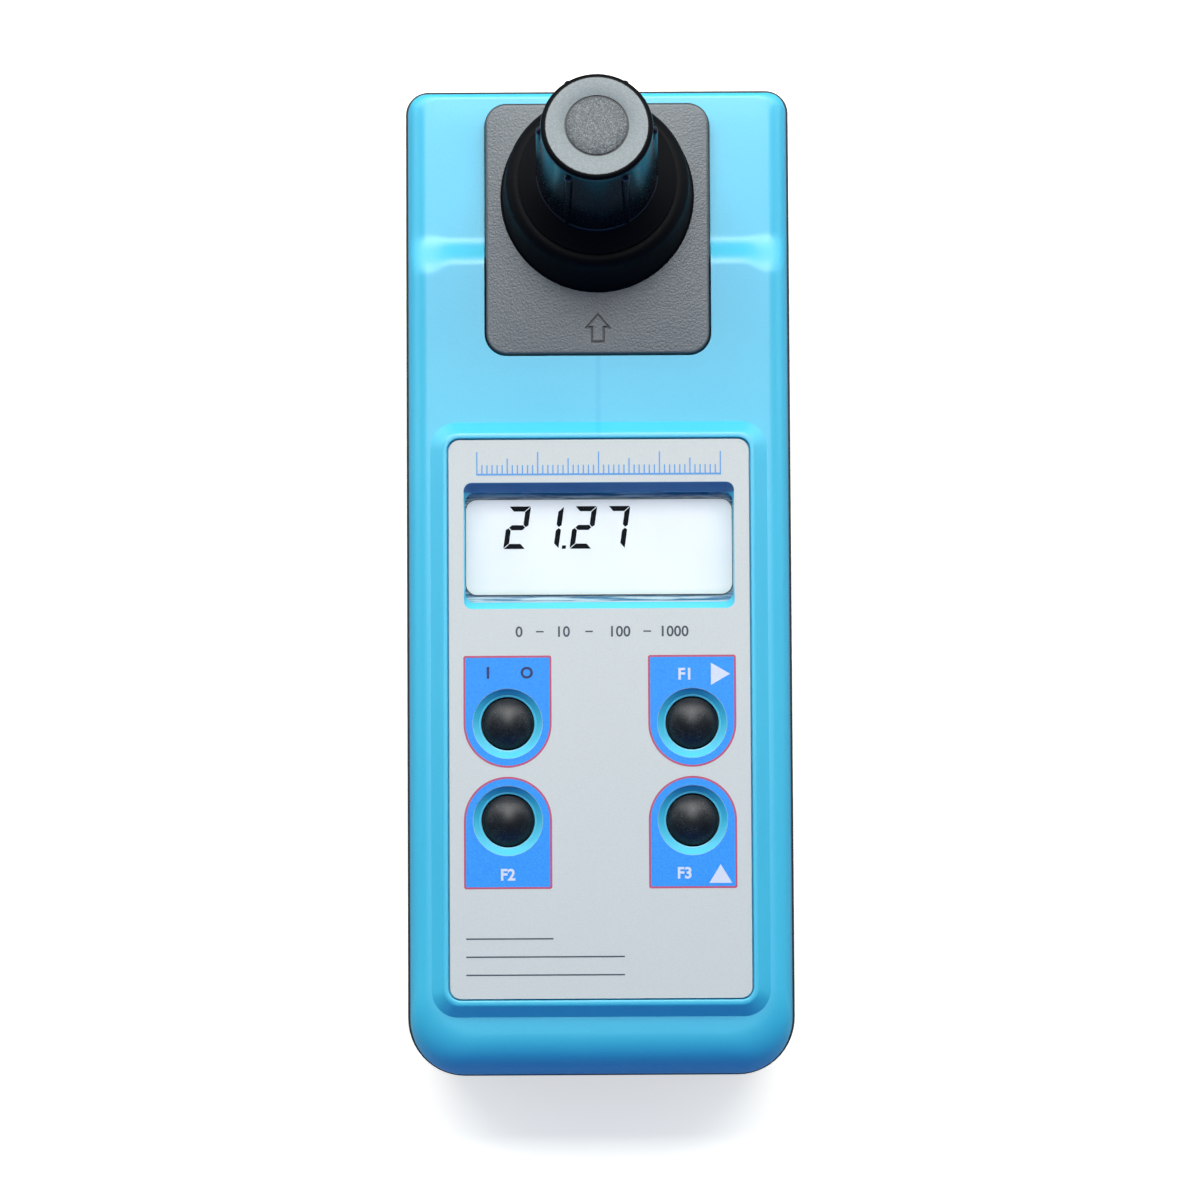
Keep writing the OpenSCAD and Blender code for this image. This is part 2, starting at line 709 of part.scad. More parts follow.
module microcontroller() {
    color("#222222") on_face() {
        box(-7, 7, window_v - 8, window_v + 6, board_under - 2.2, board_under - 0.3);
        for (i = [0:8], side = [-1, 1]) {
            box(side > 0 ? 7 : -8.2, side > 0 ? 8.2 : -7, window_v - 7.3 + i * 1.5, window_v - 6.7 + i * 1.5,
                board_under - 1, board_under);
        }
    }
}

module logic_chips() {
    color("#222222") on_face() for (x = [-22, 22]) translate([x, window_v, board_under]) {
        box(-3.2, 3.2, -5, 5, -1.9, -0.2);
        for (i = [0:6], side = [-1, 1]) box(side > 0 ? 3.2 : -4.2, side > 0 ? 4.2 : -3.2,
            -4.1 + i * 1.27, -3.6 + i * 1.27, -0.8, 0);
    }
}

module clock_crystal() {
    color("silver") on_face() hull() for (x = [-3.2, 3.2])
        translate([x, parts_v, board_under - 3.4]) cylinder(r = 2.2, h = 3.4, $fn = soft_fn);
}

module capacitors() {
    color("navy") on_face() for (x = [-16, 16]) translate([x, parts_v, board_under - 8]) {
        cylinder(r = 3, h = 8);
        translate([0, 0, 7.2]) cylinder(r = 3.3, h = 0.8);
    }
}

module board_screws() {
    color("silver") on_face() for (hole = board_holes) translate([hole[0], hole[1], board_under])
        rotate([180, 0, 0]) screw(small_screw_r, 5.5, small_head_r, small_head_t);
}

// the rubber mat on the board, with a ring that guides each key
module keypad_mat() {
    color("#303030") on_face() difference() {
        union() {
            prism(key_u + skirt_r + 3.2, key_v - skirt_r - 3.2, key_v + key_pitch + skirt_r + 3.2, 3,
                board_top, board_top + 1);
            for (place = key_places) translate([place[0], place[1], board_top])
                cylinder(r1 = skirt_r + 2.4, r2 = skirt_r + gap + 1, h = ring_top - board_top);
        }
        for (place = key_places) translate([place[0], place[1], board_top - cut])
            cylinder(r = skirt_r + gap, h = 10);
    }
}

// one rubber key: dome, stem and skirt
module key(place) {
    dome_h = 2.2;
    dome_r = (key_r * key_r + dome_h * dome_h) / (2 * dome_h);
    shoulder = label_top - dish_depth - 0.2;
    color("#1c1c1e") on_face() translate([place[0], place[1], 0]) {
        translate([0, 0, skirt_top - 0.1]) cylinder(r = key_r, h = shoulder - skirt_top + 0.1);
        intersection() {
            translate([0, 0, shoulder - 0.05]) cylinder(r = key_r, h = dome_h + 1);
            translate([0, 0, shoulder + dome_h - dome_r]) sphere(r = dome_r);
        }
        translate([0, 0, skirt_top - skirt_t]) cylinder(r = skirt_r, h = skirt_t);
        translate([0, 0, key_under]) cylinder(r = pill_r + 1.2, h = skirt_top - skirt_t - key_under + 0.1);
    }
}

// the conductive pill under a key
module pill(place) {
    color("black") on_face() translate([place[0], place[1], pill_under]) cylinder(r = pill_r, h = pill_t);
}

// which way up each battery lies: 1 puts its nub towards the deep end
function battery_way(i) = i % 2 == 0 ? 1 : -1;
function battery_x(i) = (i - 1.5) * 2 * (cell_r + bay_clear);

module battery(i) {
    way = battery_way(i);
    nub_end = way > 0 ? bay_y1 - plate_t - 0.1 : bay_y0 + plate_t + 0.1;
    color("goldenrod") translate([battery_x(i), nub_end, battery_z]) rotate([way * 90, 0, 0]) {
        cylinder(r = 2.7, h = nub_len + 0.1);
        translate([0, 0, nub_len]) {
            translate([0, 0, 0.6]) cylinder(r = cell_r, h = cell_len - 1.2);
            cylinder(r1 = cell_r - 0.6, r2 = cell_r, h = 0.6);
            translate([0, 0, cell_len - 0.6]) cylinder(r1 = cell_r, r2 = cell_r - 0.6, h = 0.6);
        }
    }
}

// stacked rings of wire, growing towards the battery wall, as pressed coil springs
module battery_springs() {
    wire = 0.54;
    rings = 5;
    color("silver") for (i = [0:3]) {
        way = battery_way(i);
        start = way > 0 ? bay_y0 + plate_t : bay_y1 - plate_t;
        translate([battery_x(i), start, battery_z]) rotate([-way * 90, 0, 0]) for (k = [0:rings - 1])
            translate([0, 0, wire + k * (spring_len - 2 * wire) / (rings - 1)])
                rotate_extrude() translate([4.2 - k * 0.45, 0]) circle(r = wire, $fn = 24);
    }
}

// tinned plates that join neighbouring batteries
module battery_plates() {
    pitch = 2 * (cell_r + bay_clear);
    color("silver") {
        for (x = [-pitch, pitch]) box(x - pitch / 2 - 5, x + pitch / 2 + 5, bay_y0, bay_y0 + plate_t,
            battery_z - 3.4, battery_z + 6);
        box(-pitch / 2 - 5, pitch / 2 + 5, bay_y1 - plate_t, bay_y1, battery_z - 3.4, battery_z + 6);
        for (x = [-1.5 * pitch, 1.5 * pitch]) box(x - 5, x + 5, bay_y1 - plate_t, bay_y1,
            battery_z - 3.4, battery_z + 6);
    }
}

module battery_leads() {
    pitch = 2 * (cell_r + bay_clear);
    lead_r = 0.7;
    y = bay_y1 + bay_wall + lead_r;
    for (side = [-1, 1]) color(side > 0 ? "red" : "black") {
        x = side * 1.5 * pitch;
        translate([x, y, battery_z]) cylinder(r = lead_r, h = over_base(y, board_under) - battery_z - 0.1);
        translate([x, bay_y1 + bay_wall, battery_z]) rotate([-90, 0, 0]) cylinder(r = lead_r, h = lead_r);
    }
}

// the flat cable between the main board and the optics board
module flat_cable() {
    t = 0.8;
    y0 = face_y(board_v1 - 8, board_under);
    z0 = over_base(y0, board_under);
    y1 = optics_y - board_t - t;
    z1 = beam_z + 17;
    color("slategray") translate([-18, 0, 0]) rotate([90, 0, 90]) linear_extrude(14)
        polygon([[y0, z0 - 0.1], [y0, z0 - 3], [y0 + 2, z0 - 4], [y1 - 3, z1 - 1], [y1, z1 - 4], [y1, z1 - 9],
            [y1 + t, z1 - 9], [y1 + t, z1 - 3.6], [y1 - 2.6, z1 - 1 + t], [y0 + 2.2, z0 - 4 + t],
            [y0 + t, z0 - 2.7], [y0 + t, over_base(y0 + t, board_under) - 0.1]]);
}

module case_screws() {
    seat = -seam_depth - bead_h - 4;
    color("silver") on_face() for (place = post_places)
        translate([place[0] * (case_w / 2 - post_in), place[1], seat])
            rotate([180, 0, 0]) screw(screw_r, 11, screw_head_r, screw_head_t);
}

module foot_pads() {
    color("#111111") for (place = foot_places) translate([place[0], place[1], 0]) {
        translate([0, 0, 0.3]) cylinder(r = foot_r, h = foot_h + foot_sink - 0.3);
        cylinder(r1 = foot_r - 0.4, r2 = foot_r, h = 0.31);
    }
}

module battery_cover() {
    slot = 1;
    color("#2a2c2e") difference() {
        union() {
            translate([0, 0, foot_h]) linear_extrude(cover_t)
                outline(cover_half, cover_y0, cover_y1, 1, 1);
            for (side = [-1, 1]) {
                box(side * tab_x - tab_w / 2, side * tab_x + tab_w / 2, cover_y1 - tab_neck, cover_y1,
                    foot_h + cover_t - 0.1, tab_under + tab_t);
                box(side * tab_x - tab_w / 2, side * tab_x + tab_w / 2, cover_y1 - tab_neck,
                    cover_y1 + tab_reach, tab_under, tab_under + tab_t);
            }
        }
        for (side = [-1, 1]) box(side * 9 - slot / 2, side * 9 + slot / 2, cover_y0 - cut, cover_y0 + 10,
            foot_h - cut, foot_h + cover_t + cut);
        for (i = [0:3]) translate([0, cover_y0 + 3 + i * 2, foot_h]) rotate([0, 90, 0])
            cylinder(r = 0.5, h = 14, center = true);
    }
}

module cuvette() {
    foot = 1.2;
    step = 0.9;
    color("white", 0.35) on_cell() rotate_extrude() polygon([
        [0, vial_z], [vial_r - foot, vial_z], [vial_r, vial_z + foot],
        [vial_r, shoulder_z - shoulder_h], [neck_r + 1, shoulder_z - step],
        [neck_r, shoulder_z], [neck_r, vial_top],
        [neck_r - vial_wall - 0.3, vial_top], [neck_r - vial_wall - 0.3, shoulder_z - step],
        [vial_r - vial_wall, shoulder_z - shoulder_h - step],
        [vial_r - vial_wall, vial_z + foot + 1], [vial_r - vial_wall - 1, vial_z + foot + 0.2], [0, vial_z + foot + 0.2]]);
}

module cap_seal() {
    color("ivory") on_cell() translate([0, 0, seal_z]) cylinder(r = neck_r, h = seal_t);
}

module cap_insert() {
    color("#232527") on_cell() {
        rotate_extrude() polygon([[neck_r + thread_fit, shoulder_z + 1], [insert_r, shoulder_z + 1],
            [insert_r, ceiling_z], [plug_r, ceiling_z], [plug_r, ceiling_z + ceiling_t],
            [0, ceiling_z + ceiling_t], [0, ceiling_z], [neck_r + thread_fit, ceiling_z]]);
    }
}

// the tall cap: flange, tapering grip with ribs, rounded top with a round groove
module cuvette_cap() {
    top_r = 0.65;
    foot_slope = (grip_foot_r - grip_top_r) / (cap_top_z - grip_foot_z);
    lip = ceiling_z + ceiling_t;
    color("#17191a") on_cell() difference() {
        union() {
            rotate_extrude() polygon(concat(
                [[insert_r, flange_z], [flange_r - 0.4, flange_z], [flange_r, flange_z + 0.4],
                [flange_r, flange_edge_z - 0.2], [flange_r - 0.3, flange_edge_z],
                [grip_foot_r + 0.5, grip_foot_z - 0.35], [grip_foot_r, grip_foot_z]],
                [for (a = [0:15:90]) [grip_top_r - top_r + top_r * cos(a), cap_top_z - top_r + top_r * sin(a)]],
                [[0, cap_top_z], [0, cap_top_z - cap_wall], [grip_top_r - cap_wall, cap_top_z - cap_wall],
                [plug_r, lip + 1], [plug_r, ceiling_z], [insert_r, ceiling_z]]));
            for (i = [0:rib_count - 1]) rotate([0, 0, i * 360 / rib_count])
                translate([rib_at, 0, flange_edge_z]) cylinder(r = rib_r, h = cap_top_z - 2.1 - flange_edge_z);
        }
        translate([0, 0, cap_top_z - 0.25]) tube(cap_groove_r + 0.18, cap_groove_r - 0.18, 0, 1);
        translate([0, 0, ceiling_z - 0.01]) cylinder(r = plug_r, h = ceiling_t + 1);
    }
}

upper_shell();
lower_shell();
case_gasket();
face_label();
display_window();
cell_plate();
cell_gasket();
cell_well();
well_screws();
emitter_led();
emitter_lens();
photocell();
optics_board();
lcd_glass();
lcd_frame();
elastomer_strips();
main_board();
microcontroller();
logic_chips();
clock_crystal();
capacitors();
board_screws();
keypad_mat();
battery(0);  // battery_1
battery(1);  // battery_2
battery(2);  // battery_3
battery(3);  // battery_4
battery_springs();
battery_plates();
battery_leads();
flat_cable();
case_screws();
foot_pads();
battery_cover();
cuvette();
cap_seal();
cap_insert();
cuvette_cap();
key(key_places[0]);  // key_power
key(key_places[1]);  // key_scroll
key(key_places[2]);  // key_calibrate
key(key_places[3]);  // key_measure
pill(key_places[0]);  // pill_power
pill(key_places[1]);  // pill_scroll
pill(key_places[2]);  // pill_calibrate
pill(key_places[3]);  // pill_measure
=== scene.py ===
import math

import bmesh
import bpy
import numpy as np
from mathutils import Matrix, Vector
from mathutils.geometry import delaunay_2d_cdt


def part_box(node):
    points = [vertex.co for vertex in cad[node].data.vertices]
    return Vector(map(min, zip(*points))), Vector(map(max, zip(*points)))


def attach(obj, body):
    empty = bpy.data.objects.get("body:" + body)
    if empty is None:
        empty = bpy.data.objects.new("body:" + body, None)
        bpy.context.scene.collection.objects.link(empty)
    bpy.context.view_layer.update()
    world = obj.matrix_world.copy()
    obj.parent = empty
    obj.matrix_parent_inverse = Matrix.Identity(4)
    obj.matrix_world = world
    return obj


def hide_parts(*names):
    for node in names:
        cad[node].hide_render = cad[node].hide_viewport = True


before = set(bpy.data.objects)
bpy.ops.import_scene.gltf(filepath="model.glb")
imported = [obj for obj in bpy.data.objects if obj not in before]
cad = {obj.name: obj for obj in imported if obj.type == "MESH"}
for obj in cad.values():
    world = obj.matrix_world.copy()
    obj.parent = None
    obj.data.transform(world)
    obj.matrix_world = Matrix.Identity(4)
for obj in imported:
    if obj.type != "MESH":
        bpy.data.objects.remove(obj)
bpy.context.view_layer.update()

# LOWER SHELL
# The deep dark-grey half of the casing, moulded in one piece with the battery bay and the screw posts.
# Its skin has a fine spark-eroded grain.


def ink(red, green, blue):
    """A colour as a screen shows it, 0 to 255 a channel, turned into the light that it stands for."""
    seen = np.array([red, green, blue]) / 255
    light = np.where(seen <= 0.04045, seen / 12.92, ((seen + 0.055) / 1.055) ** 2.4)
    return (*light.tolist(), 1.0)


class Wire:
    """One output of a node. A sum written with it adds the Math nodes that work it out."""

    def __init__(self, finish, socket):
        self.finish = finish
        self.socket = socket

    def maths(self, operation, *values):
        return self.finish.put("ShaderNodeMath", {"operation": operation}, dict(enumerate(values)))

    def __add__(self, other):
        return self.maths("ADD", self, other)

    def __radd__(self, other):
        return self.maths("ADD", other, self)

    def __sub__(self, other):
        return self.maths("SUBTRACT", self, other)

    def __rsub__(self, other):
        return self.maths("SUBTRACT", other, self)

    def __mul__(self, other):
        return self.maths("MULTIPLY", self, other)

    def __rmul__(self, other):
        return self.maths("MULTIPLY", other, self)

    def __gt__(self, other):
        return self.maths("GREATER_THAN", self, other)

    def __lt__(self, other):
        return self.maths("LESS_THAN", self, other)

    def __pow__(self, other):
        return self.maths("POWER", self, other)

    def __abs__(self):
        return self.maths("ABSOLUTE", self)

    def between(self, low, high):
        """0 at low, 1 at high, an even slope in between and no further change outside; high may be the
        lower one."""
        sockets = {"Value": self, "From Min": low, "From Max": high}
        return self.finish.put("ShaderNodeMapRange", {"clamp": True}, sockets)


class Finish:
    """A material in the making. put() adds a node, and the other methods join it to the surface."""

    def __init__(self, name, **constants):
        self.material = bpy.data.materials.new(name)
        self.material.use_nodes = True
        self.tree = self.material.node_tree
        self.surface = self.tree.nodes["Principled BSDF"]
        for socket, value in constants.items():
            self.surface.inputs[socket.replace("_", " ")].default_value = value
        self.place = self.put("ShaderNodeTexCoord", out="Object")

    def put(self, kind, settings=None, sockets=None, out=0):
        node = self.tree.nodes.new(kind)
        for name, value in (settings or {}).items():
            setattr(node, name, value)
        for name, value in (sockets or {}).items():
            self.join(value, node.inputs[name])
        return Wire(self, node.outputs[out])

    def join(self, value, socket):
        if isinstance(value, Wire):
            self.tree.links.new(value.socket, socket)
        else:
            socket.default_value = value

    def show(self, **inputs):
        for name, value in inputs.items():
            self.join(value, self.surface.inputs[name.replace("_", " ")])

    def lay_on(self, *pieces):
        """Gives the pieces this material, after those that they have."""
        for piece in pieces:
            piece.data.materials.append(self.material)

    def cloud(self, size, detail=2.0, place=None):
        """Soft random patches about size metres across, from 0 to 1."""
        sockets = {"Vector": place or self.place, "Scale": 1 / size, "Detail": detail}
        return self.put("ShaderNodeTexNoise", {}, sockets)

    def cells(self, size, feature="F1", place=None):
        """Pebbles about size metres across: the distance from each one's middle, or to its edge."""
        sockets = {"Vector": place or self.place, "Scale": 1 / size}
        return self.put("ShaderNodeTexVoronoi", {"feature": feature}, sockets, "Distance")

    def blend(self, share, first, second):
        return self.put("ShaderNodeMix", {"data_type": "RGBA"}, {0: share, 6: first, 7: second}, 2)

    def rough_skin(self, height, depth, strength=1.0):
        """Raises the surface by height, which runs from 0 to 1, times depth metres."""
        sockets = {"Height": height, "Distance": depth, "Strength": strength}
        self.show(Normal=self.put("ShaderNodeBump", {}, sockets))

    def axes(self):
        """The three separate numbers of the place, in metres."""
        split = self.put("ShaderNodeSeparateXYZ", {}, {0: self.place}).socket.node
        return [Wire(self, socket) for socket in split.outputs]


def moulded(name, colour, other, roughness, grain=0.0005, depth=0.00001, **constants):
    """Moulded plastic or rubber: the colour drifts softly over centimetres towards the other one, and a
    fine grain, grain metres wide and depth metres deep, breaks the gloss."""
    made = Finish(name, **constants)
    drift = made.cloud(0.03, 3)
    speck = made.cloud(grain, 2)
    made.show(Base_Color=made.blend(drift.between(0.3, 0.7) * 0.6 + speck * 0.4, colour, other))
    made.show(Roughness=roughness + (drift - 0.5) * 0.12 + (speck - 0.5) * 0.08)
    made.rough_skin(speck, depth)
    return made


same_place, steep_edge = 0.000002, 32


def evenly_shaded():
    """A group that merges a node's loose triangles and shades them smoothly up to a steep edge."""
    group = bpy.data.node_groups.new("even_shading", "GeometryNodeTree")
    group.interface.new_socket("Geometry", in_out="INPUT", socket_type="NodeSocketGeometry")
    group.interface.new_socket("Geometry", in_out="OUTPUT", socket_type="NodeSocketGeometry")
    kinds = ["NodeGroupInput", "GeometryNodeRemoveAttribute", "GeometryNodeMergeByDistance",
             "GeometryNodeSetShadeSmooth", "GeometryNodeSetShadeSmooth", "NodeGroupOutput"]
    chain = [group.nodes.new(kind) for kind in kinds]
    for before, after in zip(chain, chain[1:]):
        group.links.new(before.outputs[0], after.inputs[0])
    chain[1].inputs["Name"].default_value = "custom_normal"
    chain[2].inputs["Distance"].default_value = same_place
    chain[4].domain = "EDGE"
    angle = group.nodes.new("GeometryNodeInputMeshEdgeAngle")
    steep = group.nodes.new("FunctionNodeCompare")
    steep.inputs[1].default_value = math.radians(steep_edge)
    group.links.new(angle.outputs[0], steep.inputs[0])
    group.links.new(steep.outputs[0], chain[4].inputs["Selection"])
    chain[4].inputs["Shade Smooth"].default_value = False
    return group


even_group = evenly_shaded()


def dress(finish, *names):
    """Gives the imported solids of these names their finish, and shades their curves evenly."""
    for name in names:
        solid = cad[name]
        solid.data.materials.clear()
        finish.lay_on(solid)
        shading = solid.modifiers.new("even_shading", "NODES")
        shading.node_group = even_group


shell_grey = moulded("lower_shell_grain", ink(52, 55, 60), ink(43, 46, 51), 0.46, 0.0007, 0.00003)
dress(shell_grey, "lower_shell")

# SEAM BEAD
# The black rubber cord between the two shells, pressed out a little all round the seam.
# Extruded rubber, matt, with fine dust in it.

seam_rubber = moulded("seam_rubber", ink(24, 26, 30), ink(38, 41, 46), 0.62, 0.0004, 0.00001)
dress(seam_rubber, "case_gasket", "cell_gasket")

# FEET AND CASE SCREWS
# Four soft rubber discs glued into round sinks in the base, and four zinc-plated screws deep in their
# wells. The feet are greyed in random patches.


def plated(name, colour, other, roughness):
    """Plated metal: fine drawn marks and small dull spots in a bright skin."""
    made = Finish(name, Metallic=1.0)
    spots = made.cloud(0.0016, 4)
    marks = made.cloud(0.0003, 2)
    made.show(Base_Color=made.blend(spots.between(0.35, 0.7), colour, other))
    made.show(Roughness=roughness + spots * 0.18)
    made.rough_skin(marks, 0.000005)
    return made


foot_rubber = moulded("foot_rubber", ink(34, 35, 37), ink(64, 65, 67), 0.74, 0.0005, 0.00003)
dress(foot_rubber, "foot_pads")
zinc = plated("zinc_plate", ink(178, 182, 186), ink(140, 144, 150), 0.28)
dress(zinc, "case_screws", "well_screws", "board_screws", "battery_plates", "battery_springs")

# BATTERY BAY
# Four round cells side by side behind a cover that hooks into the base, with tinned contacts at both ends.
# The cells have a printed skin with a bright end cap, and two soft leads run to the board.

dress(moulded("cover_grain", ink(50, 53, 58), ink(41, 44, 49), 0.5, 0.0007, 0.00003), "battery_cover")


def cell_skin():
    """A wrapped cell: a dark sleeve with one copper-coloured band, and bare metal past its two ends."""
    band_place, band_half, sleeve_end = 0.45, 0.28, 0.93
    made = Finish("cell_skin")
    along = made.axes()[1]
    scuff = made.cloud(0.004, 4)
    low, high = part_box("battery_1")
    middle = (low.y + high.y) / 2
    reach = (high.y - low.y) / 2
    band = abs(along - (middle + reach * band_place)) < reach * band_half
    end = abs(along - middle) > reach * sleeve_end
    sleeve = made.blend(band, ink(46, 48, 54), ink(178, 112, 60))
    worn = made.blend(scuff.between(0.62, 0.8) * 0.4, sleeve, ink(120, 120, 122))
    made.show(Base_Color=made.blend(end, worn, ink(196, 198, 202)))
    made.show(Metallic=0.25 + end * 0.75)
    made.show(Roughness=0.3 + scuff * 0.15)
    made.rough_skin(scuff, 0.00001)
    return made


dress(cell_skin(), "battery_1", "battery_2", "battery_3", "battery_4")
dress(moulded("lead_skin", ink(150, 26, 24), ink(126, 20, 20), 0.5, 0.0006), "battery_leads")

# BOARDS
# Glass-fibre boards under green lacquer, with moulded chips, a crystal in a can, sleeved capacitors and a
# grey ribbon cable to the optics.


def lacquered(name):
    """Green lacquer over copper: long tracks show as lighter lines, and the weave lies under them."""
    tracks_a_metre, track_width = 120.0, 0.06
    made = Finish(name, Coat_Weight=0.4)
    weave = made.cells(0.0006)
    brick = {"Vector": made.place, "Scale": tracks_a_metre, "Mortar Size": track_width}
    track = made.put("ShaderNodeTexBrick", {"offset": 0.3}, brick, "Fac")
    made.show(Base_Color=made.blend(track * 0.6 + weave * 0.2, ink(18, 84, 52), ink(52, 128, 78)))
    made.show(Roughness=0.3 + weave * 0.15)
    made.rough_skin(track, 0.00004)
    return made


dress(lacquered("board_lacquer"), "main_board", "optics_board")
dress(moulded("chip_resin", ink(34, 34, 36), ink(46, 46, 48), 0.55, 0.0002),
      "microcontroller", "logic_chips")
dress(plated("crystal_can", ink(190, 190, 192), ink(160, 160, 164), 0.22), "clock_crystal")
dress(moulded("capacitor_sleeve", ink(26, 30, 56), ink(34, 38, 66), 0.35, 0.0008), "capacitors")
dress(moulded("ribbon_grey", ink(158, 158, 160), ink(132, 132, 136), 0.5, 0.0009, 0.00005), "flat_cable")

# KEY MAT
# One sheet of black silicone under the face, with a carbon pill under each key.

dress(moulded("mat_silicone", ink(28, 29, 32), ink(36, 37, 40), 0.6, 0.0004), "keypad_mat")
dress(moulded("carbon_pill", ink(18, 18, 19), ink(30, 30, 31), 0.8, 0.0002),
      "pill_power", "pill_scroll", "pill_calibrate", "pill_measure")

# OPTICS
# The light-tight well under the plate, with an infrared lamp, its lens, and a light cell at right angles.

dress(moulded("well_black", ink(22, 23, 25), ink(30, 31, 33), 0.6, 0.0004, 0.00002), "cell_well")
dress(moulded("lamp_resin", ink(52, 40, 74), ink(66, 52, 92), 0.15, 0.001, IOR=1.5), "emitter_led")
dress(moulded("cell_window", ink(40, 22, 30), ink(52, 30, 40), 0.12, 0.001, Coat_Weight=1.0), "photocell")


def clear(name, tint, roughness, cover, shine=0.8):
    """Clear glass or plastic: a glossy skin over a see-through body that passes light and shade, with faint
    drawn streaks. Cover is how much the body hides, and shine how much the skin mirrors at a slant."""
    made = Finish(name, Roughness=roughness)
    streak = made.cloud(0.006, 3)
    made.show(Base_Color=made.blend(streak, tint, ink(235, 244, 246)))
    rim = made.put("ShaderNodeFresnel", {}, {"IOR": 1.45})
    made.show(Alpha=rim * shine + streak * shine * 0.025 + cover)
    made.material.surface_render_method = "BLENDED"
    return made


dress(clear("lens_glass", ink(214, 226, 232), 0.03, 0.2), "emitter_lens")

# CASING
# The light-blue upper shell, injection moulded in a satin plastic with a little pearl in it. Its long
# edges are rounded, the face drops by a step beside the plate, and a raised panel carries the label.

slope = math.radians(10.5)
half_width, face_long, seam_w, nose_thick, feet_up = 41.0, 211.5, -13.0, 26.9, 1
tall_end = nose_thick * math.cos(slope) + face_long * math.sin(slope)
nose_y = -(face_long * math.cos(slope) + tall_end * math.tan(slope)) / 2 + seam_w * math.sin(slope) / 2
face_z = feet_up + nose_thick * math.cos(slope)


def on_face(u, v, w):
    """Places across, up and out of the sloping face, in millimetres, as metres in the part's frame: across
    stays, and the other two turn by the slope about the nose edge."""
    u, v, w = np.broadcast_arrays(u, v, w)
    y = nose_y + v * math.cos(slope) - w * math.sin(slope)
    z = face_z + v * math.sin(slope) + w * math.cos(slope)
    return np.stack([u, y, z], -1) / 1000


def rounded(half, v0, v1, r0, r1, marks=np.linspace(0, 1, 40), across=14, corner=12):
    """A rounded rectangle seen from above, anticlockwise from its lower edge: straight lines between four
    quarter circles, radius r0 at the lower corners and r1 at the upper ones. Gives u, v and the way out."""
    bend = np.linspace(0, math.pi / 2, corner)
    line = np.linspace(-1, 1, across)[1:-1]
    low, high = v0 + r0, v1 - r1
    side = (low + marks * (high - low))[1:-1]
    parts = [(line * (half - r0), v0, 0, -1)]
    for turn, u, v, r in ((-1, half - r0, low, r0), (0, half - r1, high, r1),
                          (1, r1 - half, high, r1), (2, r0 - half, low, r0)):
        angle = bend + turn * math.pi / 2
        parts.append((u + r * np.cos(angle), v + r * np.sin(angle), np.cos(angle), np.sin(angle)))
        if turn == -1:
            parts.append((half, side, 1, 0))
        if turn == 0:
            parts.append((-line * (half - r1), v1, 0, 1))
        if turn == 1:
            parts.append((-half, side[::-1], -1, 0))
    columns = [np.stack(np.broadcast_arrays(*np.atleast_1d(*part)), -1) for part in parts]
    return np.concatenate(columns).T


def drawn_in(edge, inset=0.0, tighter=1.0):
    """A rounded rectangle, given by its half width, its two ends and its corners' radius, drawn in all round
    by an inset; the radius loses tighter times that inset. Gives u and v."""
    half, near, far, corner = edge
    corner = corner - tighter * inset
    return rounded(half - inset, near + inset, far - inset, corner, corner)[:2]


def circle(u, v, r, points=64):
    """A circle seen from above, anticlockwise: u and v."""
    angle = np.arange(points) * 2 * math.pi / points
    return np.stack([u + r * np.cos(angle), v + r * np.sin(angle)])


def woven(rings):
    """Rings of points, each joined to the next by four-cornered faces. Rings that run anticlockwise and
    climb, or close in, face outwards."""
    rings = np.stack(rings)
    rows, across = rings.shape[:2]
    index = np.arange(rows * across).reshape(rows, across)
    index = np.concatenate([index, index[:, :1]], 1)
    faces = np.stack([index[:-1, :-1], index[:-1, 1:], index[1:, 1:], index[1:, :-1]], -1)
    return rings.reshape(-1, 3), faces.reshape(-1, 4)


def standing(*lines):
    """A wall up the face's own axis: each line is an outline and the height that it lies at."""
    return woven([on_face(*outline, w) for outline, w in lines])


def within(points, loop):
    """Which points lie inside a loop: those whose line to the right crosses it an odd number of times."""
    (x, y), (u0, v0) = points.T[:, :, None], np.asarray(loop)[:, None, :]
    u1, v1 = np.roll(u0, -1), np.roll(v0, -1)
    astride = (v0 > y) != (v1 > y)
    crossing = x < u0 + (y - v0) * (u1 - u0) / np.where(v1 == v0, 1, v1 - v0)
    return (astride & crossing).sum(1) % 2 == 1


def cut_sheet(outline, holes=(), strewn=np.empty((0, 2))):
    """A flat sheet of triangles inside an outline and outside its holes, through the strewn points too.
    Gives u, v and the triangles, which face up."""
    loops = [np.asarray(loop).T for loop in (outline, *holes)]
    points = np.concatenate([*loops, strewn])
    sizes = np.cumsum([0] + [len(loop) for loop in loops])
    turns = [np.arange(a, b) for a, b in zip(sizes, sizes[1:])]
    edges = np.concatenate([np.stack([turn, np.roll(turn, -1)], 1) for turn in turns])
    flat = [Vector(point) for point in points.tolist()]
    found = delaunay_2d_cdt(flat, edges.tolist(), [], 1, 1e-7)
    points, faces = np.array([tuple(point) for point in found[0]]), np.array(found[2])
    middles = points[faces].mean(1)
    kept = within(middles, outline)
    for hole in holes:
        kept &= ~within(middles, hole)
    return points.T, faces[kept]


def level_sheet(w, outline, holes=(), up=True):
    """A flat sheet as cut_sheet makes it, at the height w of the face frame, facing up or down."""
    (u, v), faces = cut_sheet(outline, holes)
    return on_face(u, v, w), faces if up else faces[:, ::-1]


